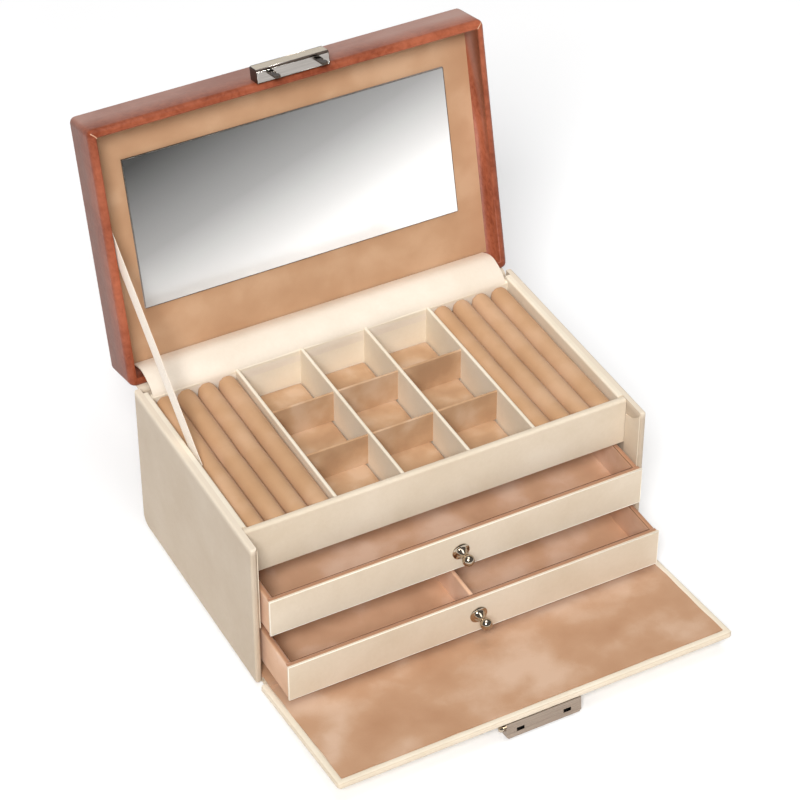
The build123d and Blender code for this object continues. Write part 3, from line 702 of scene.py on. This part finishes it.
pale_edge_highlight = leather("pale_edge_highlight", EDGE_HIGHLIGHT_DARK, EDGE_HIGHLIGHT_LIGHT, glaze=EDGE_GLAZE, cloud=EDGE_CLOUD)
painted_shadow_line = leather("painted_shadow_line", SHADOW_LINE_DARK, SHADOW_LINE_LIGHT, glaze=SHADOW_LINE_GLAZE, cloud=SHADOW_LINE_CLOUD)
for drawer in ("upper_drawer", "lower_drawer"):
    cover(cream_leather, f"{drawer}_front_plate")
    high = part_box(f"{drawer}_sides")[1]
    inner = high.x - BOX_WALL
    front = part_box(f"{drawer}_inner_front")[1].y - SHADOW_LINE_SET
    # Each drawer's lining: the lighter copy, painted light, darker along the top edges.
    drawer_lit_suede = suede(f"{drawer}_suede", DRAWER_LIT_TONES, DRAWER_CLOUD,
                         top_tone=(high.z, DRAWER_TOP_DARK_DEPTH, DRAWER_TOP_DARK))
    fold = [Vector((x, y, high.z)) for x, y in three_sides(-inner, inner, high.y - BOX_WALL, front)]
    # The painted shadow line round the lining's inner top edges.
    shade_cord = trim(f"{drawer}_painted_shadow_line", [fold], SHADOW_LINE_RADIUS, painted_shadow_line)
    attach(shade_cord, drawer)
    cover(drawer_lit_suede, *[f"{drawer}_{board}" for board in ("inner_front", "floor", "sides", "back")])
    low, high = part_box(f"{drawer}_front_plate")
    # The plate's pale cut edge, which is also a painted highlight along its top and sides.
    plate = three_sides(low.x + EDGE_SINK, high.x - EDGE_SINK, low.z + EDGE_SINK, high.z - EDGE_SINK)
    corners = [Vector((x, low.y + EDGE_SINK, z)) for x, z in plate]
    plate_edge = trim(f"{drawer}_plate_edge", [corners], EDGE_RADIUS, pale_edge_highlight, closed=True)
    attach(plate_edge, drawer)
middle_lit_suede = suede("middle_lit_suede", PARTING_LIT_TONES, DRAWER_CLOUD)
cover(middle_lit_suede, "lower_drawer_divider")

plain_steel = polished("plain_steel", STEEL_SCUFF, STEEL_DARK, STEEL_LIGHT, STEEL_POLISH)
cover(plain_steel, "upper_drawer_knob_screw", "lower_drawer_knob_screw")


# Knobs. Turned brass, nickel plated and polished: a thin flange against the plate, a trumpet-shaped
# neck and a ball, held by the screw from inside the drawer.

NICKEL_DARK = linear(176, 162, 142)
NICKEL_LIGHT = linear(196, 182, 164)
NICKEL_SCUFF = 260.0
NICKEL_POLISH = (0.06, 0.14)
KNOB_RIM = 0.0011
KNOB_RIM_ROUND = 0.0003
KNOB_STEP = 0.0005
KNOB_SKIRT = 0.0043
KNOB_NECK = 0.0022
KNOB_FLARE = 1.7
KNOB_BALL = 0.0043
KNOB_SIDES = 64
KNOB_NECK_RINGS = 12
KNOB_BALL_RINGS = 22
KNOB_CRISP_ANGLE = math.radians(40)

polished_nickel = polished("polished_nickel", NICKEL_SCUFF, NICKEL_DARK, NICKEL_LIGHT, NICKEL_POLISH)

for drawer in ("upper_drawer", "lower_drawer"):
    low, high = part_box(f"{drawer}_knob")
    middle = (low + high) / 2
    flange = (high.x - low.x) / 2
    length = high.y - low.y
    ball_middle = length - KNOB_BALL
    neck_end = ball_middle - math.sqrt(KNOB_BALL ** 2 - KNOB_NECK ** 2)
    skirt_foot = KNOB_RIM + KNOB_STEP
    profile = [(flange - KNOB_RIM_ROUND, 0.0), (flange, KNOB_RIM_ROUND),
               (flange, KNOB_RIM - KNOB_RIM_ROUND), (flange - KNOB_RIM_ROUND, KNOB_RIM),
               (KNOB_SKIRT + KNOB_STEP, KNOB_RIM + KNOB_RIM_ROUND)]
    for ring in range(KNOB_NECK_RINGS):
        share = ring / KNOB_NECK_RINGS
        profile.append((KNOB_NECK + (KNOB_SKIRT - KNOB_NECK) * (1 - share) ** KNOB_FLARE,
                        skirt_foot + (neck_end - skirt_foot) * share))
    throat = math.asin(KNOB_NECK / KNOB_BALL)
    for ring in range(KNOB_BALL_RINGS):
        angle = throat + (math.pi - throat) * ring / KNOB_BALL_RINGS
        profile.append((KNOB_BALL * math.sin(angle), ball_middle - KNOB_BALL * math.cos(angle)))
    turns = [2 * math.pi * side / KNOB_SIDES for side in range(KNOB_SIDES)]
    points = [(middle.x + radius * math.cos(turn), high.y - out, middle.z + radius * math.sin(turn))
              for radius, out in profile for turn in turns]
    points += [(middle.x, high.y, middle.z), (middle.x, low.y, middle.z)]
    back_pole, tip_pole = len(points) - 2, len(points) - 1
    faces = [(ring * KNOB_SIDES + side, ring * KNOB_SIDES + (side + 1) % KNOB_SIDES,
              (ring + 1) * KNOB_SIDES + (side + 1) % KNOB_SIDES, (ring + 1) * KNOB_SIDES + side)
             for ring in range(len(profile) - 1) for side in range(KNOB_SIDES)]
    tip_ring = (len(profile) - 1) * KNOB_SIDES
    for side in range(KNOB_SIDES):
        beside = (side + 1) % KNOB_SIDES
        faces += [(back_pole, beside, side), (tip_pole, tip_ring + side, tip_ring + beside)]
    knob = mesh_piece(f"{drawer}_turned_knob", points, faces, polished_nickel)
    knob.data.set_sharp_from_angle(angle=KNOB_CRISP_ANGLE)
    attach(knob, drawer)
    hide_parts(f"{drawer}_knob")


# Front flap. A board in cream leather with a padded welt round its border and a suede lining inside
# it, joined to the case by a leather strip outside the hinge and a suede strip inside it.

FLAP_CELLS = (90, 40)
FLAP_WAVE = 0.00025
HAND_WAVES = ((1.0, 87, 0.4), (0.7, 211, 1.9))
WELT_STEPS = 8
WELT_RUN = 60
WELT_WAVE = 0.00010
WELT_INSET = 0.0007
WELT_SKIN = 0.0003
WELT_FULLNESS = 0.5
HINGE_SUEDE_STOPS = [(-0.0830, 0.00775), (-0.0930, 0.00775), (-0.0997, 0.00745), (-0.1046, 0.00798)]
HINGE_STRIP_STOPS = [(-0.0830, 0.0021), (-0.0930, 0.0021), (-0.0985, 0.0012), (-0.10845, 0.00224)]
HINGE_STRIP_THICK = 0.0008
HINGE_STRIP_STEPS = 10


def opened(joint_name):
    """The turn that opens a hinged body from its shut place, as it stands at rest."""
    joint = next(joint for joint in frame["joints"] if joint["name"] == joint_name)
    pivot = Vector(joint["pos_m"])
    turn = Matrix.Rotation(-math.radians(joint["range_deg"][1]), 4, Vector(joint["axis"]))
    return Matrix.Translation(pivot) @ turn @ Matrix.Translation(-pivot)


def shut_box(name, turn):
    """A node's lowest and highest corners with its hinge shut."""
    back = turn.inverted()
    spots = [back @ point.co for point in nodes[name].data.vertices]
    return [Vector([pick(spot[axis] for spot in spots) for axis in range(3)]) for pick in (min, max)]


cover(cream_leather, "flap_board")
flap_turn = opened("flap_hinge")
board_low, board_high = shut_box("flap_board", flap_turn)
lining_low, lining_high = shut_box("flap_lining", flap_turn)
columns, rows = FLAP_CELLS
points = []
for row in range(rows + 1):
    for column in range(columns + 1):
        x = lining_low.x + (lining_high.x - lining_low.x) * column / columns
        z = lining_low.z + (lining_high.z - lining_low.z) * row / rows
        x -= math.copysign(FLAP_WAVE, x) + FLAP_WAVE * waved(z, HAND_WAVES) * x / lining_high.x
        z -= (FLAP_WAVE + FLAP_WAVE * waved(x, HAND_WAVES)) * row / rows
        points.append(flap_turn @ Vector((x, (lining_low.y + lining_high.y) / 2, z)))
lining_thick = lining_high.y - lining_low.y
flap_suede = thicken(mesh_piece("flap_suede", points, net(rows, columns), tan_suede), lining_thick)
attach(flap_suede, "flap")
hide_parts("flap_lining")

welt_height = lining_high.y - board_high.y - WELT_SKIN
outer_corners = three_sides(board_low.x + WELT_INSET, board_high.x - WELT_INSET, lining_low.z,
                            board_high.z - WELT_INSET)
inner_corners = three_sides(lining_low.x, lining_high.x, lining_low.z, lining_high.z)
points = []
for step in range(3 * WELT_RUN + 1):
    leg = min(step // WELT_RUN, 2)
    share = step / WELT_RUN - leg
    for rise in range(WELT_STEPS + 1):
        inset = rise / WELT_STEPS
        start, end = [outer.lerp(inner, inset) for outer, inner
                      in zip(outer_corners[leg:leg + 2], inner_corners[leg:leg + 2])]
        spot = start.lerp(end, share)
        lift = welt_height * math.sin(math.pi * inset) ** WELT_FULLNESS
        lift += WELT_WAVE * waved(spot.x + spot.y, HAND_WAVES) * math.sin(math.pi * inset)
        lift = min(lift, welt_height) + WELT_SKIN / 2
        points.append(flap_turn @ Vector((spot.x, board_high.y + lift, spot.y)))
faces = net(3 * WELT_RUN, WELT_STEPS, turned=True)
# The welt takes the paler copy of the cream: painted light.
flap_welt = thicken(mesh_piece("flap_welt", points, faces, cream_painted_light), WELT_SKIN)
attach(flap_welt, "flap")

for name, node, stops, slot, finish in (
        ("flap_hinge_suede", "flap_hinge_lining", HINGE_SUEDE_STOPS, "suede", tan_suede),
        ("flap_hinge_leather", "flap_hinge_strip", HINGE_STRIP_STOPS, "case_leather", cream_leather)):
    line = flowing([Vector(stop) for stop in stops], HINGE_STRIP_STEPS)
    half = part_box(node)[1].x
    hinge_band = band(name, line, half, HINGE_STRIP_THICK, finish)
    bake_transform(hinge_band)
    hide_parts(node)


# Lid. A deep box of board wrapped in padded cognac leather with soft round edges, turned in and mitred
# at the rim's corners, with a suede-covered board glued to the frame inside it. A pale painted sheen lies
# on its sides, darker at the two ends, and fades out along the rim and on top.

LID_SUEDE_TONES = linear(182, 141, 107), linear(189, 149, 115), linear(198, 160, 127)
LID_SUEDE_CLOUD = 30.0
COGNAC_DARK = linear(124, 57, 32)
COGNAC_LIGHT = linear(168, 92, 63)
COGNAC_PORE = 0.0014
COGNAC_GLAZE = (0.34, 0.50)
COGNAC_CLOUD = 16.0
COGNAC_RELIEF = 4.0
COGNAC_FLECK = 0.3
# Tones of the painted sheen on the lid's sides and, darker, at its two ends, and how it is spread.
PAINTED_SHEEN_SIDE = linear(180, 148, 137)
PAINTED_SHEEN_END = linear(112, 79, 68)
PAINTED_SHEEN_END_DEPTH = 0.003
PAINTED_SHEEN_MOST = 0.85
PAINTED_SHEEN_SLANT = (0.24, 0.60)
PAINTED_SHEEN_PATCHES = (0.55, 1.15, 0.25, 0.75)
PAINTED_SHEEN_RIM = 0.05
PAINTED_SHEEN_RIM_FADE = (0.003, 0.021)
PAINTED_SHEEN_TOP = 0.25
PAINTED_SHEEN_TOP_FADE = (0.0325, 0.0368)
LID_RIM = 0.0058
LID_TOP = 0.0040
LID_ROUND = 0.0045
LID_ROUND_STEPS = 6
LID_INSIDE_SHARE = 0.26
LID_REAR_SHARE = 0.5
MITRE_DARK = linear(208, 160, 128)
MITRE_LIGHT = linear(224, 182, 152)
MITRE_RADIUS = 0.00032
MITRE_STEPS = 10
MITRE_FROM = 0.36
MITRE_TO = 0.98
MITRE_BOW = 0.0004

lid_suede = suede("lid_suede", LID_SUEDE_TONES, LID_SUEDE_CLOUD)
cover(lid_suede, "lid_lining")

lid_turn = opened("lid_hinge")
shell_low, shell_high = shut_box("lid_shell", lid_turn)
lid_up = lid_turn.to_3x3() @ Vector((0.0, 0.0, 1.0))
lid_rim = lid_up.dot(lid_turn @ shell_low)


def lid_painted_sheen(tree, place, patches, colour):
    """The lid's colour under a painted sheen on faces seen at a slant, darker at the ends, faded at rim and
    top.
    """
    sideways = lay(tree, "ShaderNodeSeparateXYZ", {"Vector": place}).outputs["X"]
    near_end = spread(tree, sum_up(tree, "ABSOLUTE", sideways), 0.0, 1.0, shell_high.x - PAINTED_SHEEN_END_DEPTH,
                      shell_high.x)
    painted_sheen = mixed(tree, near_end, PAINTED_SHEEN_SIDE, PAINTED_SHEEN_END)
    slant = lay(tree, "ShaderNodeLayerWeight", {"Blend": 0.5}).outputs["Facing"]
    height = lay(tree, "ShaderNodeVectorMath", {0: place, 1: tuple(lid_up)},
                 operation="DOT_PRODUCT").outputs["Value"]
    rim_low, rim_high = [lid_rim + fade for fade in PAINTED_SHEEN_RIM_FADE]
    top_low, top_high = [lid_rim + fade for fade in PAINTED_SHEEN_TOP_FADE]
    # Painted sheen: stronger on faces seen at a slant, in patches, faded at the rim and on the top.
    sheen_share = sum_up(tree, "MULTIPLY", spread(tree, slant, 0.0, PAINTED_SHEEN_MOST, *PAINTED_SHEEN_SLANT),
                  spread(tree, patches, *PAINTED_SHEEN_PATCHES))
    sheen_share = sum_up(tree, "MULTIPLY", sheen_share, spread(tree, height, PAINTED_SHEEN_RIM, 1.0, rim_low, rim_high))
    sheen_share = sum_up(tree, "MULTIPLY", sheen_share, spread(tree, height, 1.0, PAINTED_SHEEN_TOP, top_low, top_high))
    return mixed(tree, sheen_share, colour, painted_sheen)


# Cognac leather that carries the lid's painted sheen.
cognac_leather = leather("cognac_leather", COGNAC_DARK, COGNAC_LIGHT, COGNAC_PORE, COGNAC_GLAZE,
                         COGNAC_CLOUD, COGNAC_RELIEF, COGNAC_FLECK, painted_sheen=lid_painted_sheen)
points = []
for inset, z in ((0.0, shell_high.z), (0.0, shell_low.z), (LID_RIM, shell_low.z),
                 (LID_RIM, shell_high.z - LID_TOP)):
    corners = oblong(shell_low.x + inset, shell_high.x - inset, shell_low.y + inset, shell_high.y - inset)
    points += [lid_turn @ Vector((x, y, z)) for x, y in corners]
outer_top, outer_rim, inner_rim, inner_top = range(0, len(points), 4)
faces = [tuple(range(outer_top, outer_rim)), tuple(reversed(range(inner_top, len(points))))]
for first in (outer_top, outer_rim, inner_rim):
    for side in range(4):
        beside = (side + 1) % 4
        faces.append((first + 4 + side, first + 4 + beside, first + beside, first + side))
lid_box = mesh_piece("lid_leather_box", points, faces, cognac_leather)
roundness = lid_box.data.attributes.new("bevel_weight_edge", "FLOAT", "EDGE")
for edge in lid_box.data.edges:
    near, far = sorted(edge.vertices)
    if far >= inner_top:
        share = 0.0
    elif near >= inner_rim:
        share = LID_INSIDE_SHARE
    elif (near, far) == (outer_rim + 2, outer_rim + 3):
        share = LID_REAR_SHARE
    else:
        share = 1.0 if far < inner_rim else 0.0
    roundness.data[edge.index].value = share
padding = lid_box.modifiers.new("padding", "BEVEL")
padding.limit_method = "WEIGHT"
padding.width = LID_ROUND
padding.segments = LID_ROUND_STEPS
padding.use_clamp_overlap = False
lid_box.modifiers.new("flat_faces", "WEIGHTED_NORMAL")
plain_mesh(lid_box)
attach(lid_box, "lid")
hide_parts("lid_shell")

mitre_edge = leather("mitre_edge", MITRE_DARK, MITRE_LIGHT, glaze=EDGE_GLAZE, cloud=EDGE_CLOUD)
mitres = []
for corner, inward in ((shell_low.x, 1), (shell_high.x, -1)):
    route = []
    for step in range(MITRE_STEPS + 1):
        inset = LID_RIM * (MITRE_FROM + (MITRE_TO - MITRE_FROM) * step / MITRE_STEPS)
        off = math.sqrt(2) * max(LID_ROUND - inset, 0.0)
        sink = LID_ROUND - math.sqrt(LID_ROUND ** 2 - off ** 2)
        bow = MITRE_BOW * math.sin(math.pi * step / MITRE_STEPS)
        spot = Vector((corner + inward * (inset + bow), shell_low.y + inset, shell_low.z + sink))
        route.append(lid_turn @ spot)
    mitres.append(route)
rim_mitres = trim("rim_mitres", mitres, MITRE_RADIUS, mitre_edge)
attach(rim_mitres, "lid")


# Mirror. A sheet of silvered glass with a ground and polished edge, glued to the suede of the lid's
# lining board. Its colour holds a painted reflection, dark grey at its top left to white at its lower
# right, under a weak real one; the cord along its edge is dark grey, a painted shadow line.

# Direction, start and tones of the painted reflection across the glass.
PAINTED_REFLECTION_WAY = (1.74, 0.0, -5.70)
PAINTED_REFLECTION_START = 1.72
PAINTED_REFLECTION_TONES = [(0.0, (0.042, 0.042, 0.040, 1.0)), (0.38, (0.34, 0.34, 0.335, 1.0)),
                (0.62, (0.73, 0.73, 0.72, 1.0)), (0.76, (1.0, 1.0, 0.99, 1.0))]
MIRROR_CLOUD = 40.0
MIRROR_POLISH = (0.08, 0.11)
GLASS_EDGE = 0.00020
# Dark grey tones of the edge cord: a painted shadow line round the glass.
GLASS_EDGE_SHADOW_DARK = linear(44, 42, 38)
GLASS_EDGE_SHADOW_LIGHT = linear(124, 124, 118)
GLASS_EDGE_CUT = 400.0

# Partly metallic glass whose base colour is a painted reflection.
mirror_glass, tree, shader, place = start_finish("mirror_glass", Metallic=0.25, Specular_IOR_Level=0.5)
along = lay(tree, "ShaderNodeVectorMath", {0: place, 1: PAINTED_REFLECTION_WAY}, operation="DOT_PRODUCT").outputs["Value"]
shade = sum_up(tree, "ADD", along, PAINTED_REFLECTION_START)
tree.links.new(tones(tree, shade, *PAINTED_REFLECTION_TONES), shader.inputs["Base Color"])
breath = mottle(tree, place, MIRROR_CLOUD, 2.0)
tree.links.new(spread(tree, breath, *MIRROR_POLISH), shader.inputs["Roughness"])
cover(mirror_glass, "mirror")

# The edge cord's dark grey is a painted shadow line along the glass edge.
glass_edge_shadow, tree, shader, place = start_finish("glass_edge_shadow", Roughness=0.15)
two_tone(tree, shader, mottle(tree, place, GLASS_EDGE_CUT, 2.0), GLASS_EDGE_SHADOW_DARK, GLASS_EDGE_SHADOW_LIGHT)
low, high = shut_box("mirror", lid_turn)
corners = oblong(low.x + GLASS_EDGE, high.x - GLASS_EDGE, low.y + GLASS_EDGE, high.y - GLASS_EDGE)
glass_rim = [lid_turn @ Vector((x, y, low.z + GLASS_EDGE)) for x, y in corners]
mirror_edge = trim("mirror_edge", [glass_rim], GLASS_EDGE, glass_edge_shadow, closed=True)
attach(mirror_edge, "lid")


# Hinge leathers. A soft cream gusset bridges the tray's rear wall and the lid inside the hinge, and a
# cream spine does the same outside; both are glued along their edges.

GUSSET_DARK = linear(224, 211, 193)
GUSSET_LIGHT = linear(234, 222, 206)
GUSSET_STOPS = [(0.08385, 0.1100), (0.08385, 0.1165), (0.0849, 0.1210), (0.0886, 0.1250), (0.0950, 0.1282),
                (0.1024, 0.1299), (0.1095, 0.1284), (0.1180, 0.1242)]
GUSSET_THICK = 0.0008
GUSSET_WAVE = 0.00022
GUSSET_BEND = ((0.0, 0.0870, 0.1225), (0.0, 0.1120, 0.1275))
GUSSET_STEPS = 8
SPINE_STOPS = [(0.0935, 0.1040), (0.0935, 0.1130), (0.0946, 0.1194), (0.1005, 0.1206), (0.1123, 0.1174)]
SPINE_BEND = ((0.0, 0.0938, 0.1150), (0.0, 0.1060, 0.1190))

gusset_leather = leather("gusset_leather", GUSSET_DARK, GUSSET_LIGHT)
for name, node, stops, wave, bend, finish in (
        ("hinge_gusset_leather", "hinge_gusset", GUSSET_STOPS, GUSSET_WAVE, GUSSET_BEND, gusset_leather),
        # The spine takes the walls' darker copy of the cream: painted shade.
        ("hinge_spine_leather", "hinge_spine", SPINE_STOPS, 0.0, SPINE_BEND, cream_painted_shade)):
    line = flowing([Vector(stop) for stop in stops], GUSSET_STEPS)
    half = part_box(node)[1].x
    hinge_band = band(name, line, half, GUSSET_THICK, finish, wave)
    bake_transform(hinge_band)
    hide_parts(node)


# Ribbon stay. A woven satin ribbon that stops the lid: it runs straight from inside the case's left
# wall up to the lid's side and is held taut at both ends.

RIBBON_DARK = linear(226, 210, 192)
RIBBON_LIGHT = linear(240, 227, 210)
RIBBON_THREADS = 700.0
RIBBON_RELIEF = (0.3, 0.00006)
RIBBON_FOOT = Vector((-0.14065, 0.0066, 0.1150))
RIBBON_TOP = Vector((-0.14360, 0.1363, 0.2304))
RIBBON_WIDTH = 0.014
RIBBON_THICK = 0.0005
RIBBON_CUP = 0.0004
RIBBON_RUN = 60
RIBBON_ACROSS = 8

satin_ribbon, tree, shader, place = start_finish("satin_ribbon", Roughness=0.42, Sheen_Weight=0.25)
run = (RIBBON_TOP - RIBBON_FOOT).normalized()
laid = lay(tree, "ShaderNodeMapping", {"Vector": place, "Rotation": (-math.atan2(run.z, run.y), 0.0, 0.0)})
threads = lay(tree, "ShaderNodeTexWave",
              {"Vector": laid.outputs["Vector"], "Scale": RIBBON_THREADS, "Distortion": 0.3},
              bands_direction="Y").outputs["Fac"]
tree.links.new(tones(tree, threads, (0.2, RIBBON_DARK), (0.8, RIBBON_LIGHT)), shader.inputs["Base Color"])
emboss(tree, shader, (threads, *RIBBON_RELIEF))
aside = Vector((1.0, 0.0, 0.0)).cross(run).normalized()
points = []
for step in range(RIBBON_RUN + 1):
    middle = RIBBON_FOOT.lerp(RIBBON_TOP, step / RIBBON_RUN)
    for column in range(RIBBON_ACROSS + 1):
        off = 2 * column / RIBBON_ACROSS - 1
        points.append(middle + RIBBON_WIDTH / 2 * off * aside + Vector((RIBBON_CUP * off ** 2, 0.0, 0.0)))
faces = net(RIBBON_RUN, RIBBON_ACROSS)
ribbon = thicken(mesh_piece("satin_ribbon_stay", points, faces, satin_ribbon), RIBBON_THICK)
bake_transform(ribbon)
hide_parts("ribbon_stay")


# Lock. A nickel-plated block with two hook tongues on the lid's edge, faced with a polished bar and a
# brushed plate, and on the flap a folded housing with a slot for each hook and a round button, whose
# slide a steel leaf spring pushes back.

BRUSH_STRETCH = (30.0, 3000.0, 3000.0)
BRUSH_RELIEF = (0.10, 0.00004)
FACE_THICK = 0.0003
FACE_MARGIN = 0.0005
FACE_BEVEL = 0.00018
FACE_DROP = 0.0016
FACE_EDGE = 0.00016


def brushed(name, dark, light, polish):
    """Plated metal with fine brush strokes along the lock."""
    material, tree, shader, place = start_finish(name, Metallic=1.0)
    along = lay(tree, "ShaderNodeMapping", {"Vector": place, "Scale": BRUSH_STRETCH}).outputs["Vector"]
    strokes = mottle(tree, along, 1.0, 4.0)
    two_tone(tree, shader, strokes, linear(*dark), linear(*light))
    tree.links.new(spread(tree, strokes, *polish), shader.inputs["Roughness"])
    emboss(tree, shader, (strokes, *BRUSH_RELIEF))
    return material


def metal_plate(name, low, high, turn, body, material):
    """A thin plate with bevelled edges between two corners, given with its hinge shut."""
    corners = [Vector((x, y, z)) for z in (low.z, high.z) for y in (low.y, high.y) for x in (low.x, high.x)]
    faces = [(0, 2, 3, 1), (4, 5, 7, 6), (0, 1, 5, 4), (2, 6, 7, 3), (0, 4, 6, 2), (1, 3, 7, 5)]
    plate = mesh_piece(name, corners, faces, material, smooth=False)
    bevel = plate.modifiers.new("bevel", "BEVEL")
    bevel.width = FACE_BEVEL
    bevel.segments = 2
    plain_mesh(plate)
    plate.data.transform(turn)
    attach(plate, body)


lock_nickel = brushed("lock_nickel", (146, 130, 117), (178, 162, 147), polish=(0.22, 0.36))
# A darker copy of the nickel for the block: painted shade, so dark lines frame the bar and the plate.
block_nickel_shaded = brushed("block_nickel_shaded", (70, 60, 54), (96, 84, 76), polish=(0.15, 0.28))
plate_nickel = brushed("plate_nickel", (178, 172, 166), (206, 200, 194), polish=(0.25, 0.40))
bar_nickel = brushed("bar_nickel", (240, 224, 200), (252, 240, 220), polish=(0.14, 0.24))
# A near-white copy of the nickel for cords along the bar's and plate's edges: painted highlights.
bright_nickel = brushed("bright_nickel", (240, 236, 228), (252, 248, 240), polish=(0.10, 0.20))
# A nearly black copy of the nickel for the hooks: a painted dark reflection.
hook_dark_reflection_nickel = brushed("hook_dark_reflection_nickel", (52, 44, 38), (104, 92, 82), polish=(0.10, 0.20))
cover(lock_nickel, "flap_lock_housing")
# The block in the darker copy of the nickel: painted shade.
cover(block_nickel_shaded, "lid_lock")
cover(hook_dark_reflection_nickel, "lock_hooks")
cover(polished_nickel, "release_button")
cover(plain_steel, "latch_slide")

low, high = shut_box("lid_lock", lid_turn)
left, right = low.x + FACE_MARGIN, high.x - FACE_MARGIN
bar_low, bar_high = low.z + FACE_MARGIN, high.z - FACE_MARGIN
plate_low, plate_high = low.y + FACE_DROP, high.y - FACE_MARGIN
proud = FACE_THICK / 2
metal_plate("lock_top_bar", Vector((left, low.y - proud, bar_low)), Vector((right, low.y + proud, bar_high)),
            lid_turn, "lid", bar_nickel)
metal_plate("lock_face_plate", Vector((left, plate_low, low.z - proud)),
            Vector((right, plate_high, low.z + proud)), lid_turn, "lid", plate_nickel)
# Cords round the bar and the plate in the near-white copy: painted edge highlights.
bar_edge = [Vector((x, low.y - proud, z)) for x, z in oblong(left, right, bar_low, bar_high)]
plate_edge = [Vector((x, y, low.z - proud)) for x, y in oblong(left, right, plate_low, plate_high)]
lock_highlight_edges = trim("lock_highlight_edges", [[lid_turn @ spot for spot in edge] for edge in (bar_edge, plate_edge)],
                  FACE_EDGE, bright_nickel, closed=True)
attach(lock_highlight_edges, "lid")

low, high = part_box("latch_spring")
middle = (low + high) / 2
leaf_spring = put_down("latch_leaf_spring", nodes["latch_spring"].data.copy())
leaf_spring.data.materials.clear()
leaf_spring.data.materials.append(plain_steel)
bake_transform(leaf_spring)
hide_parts("latch_spring")
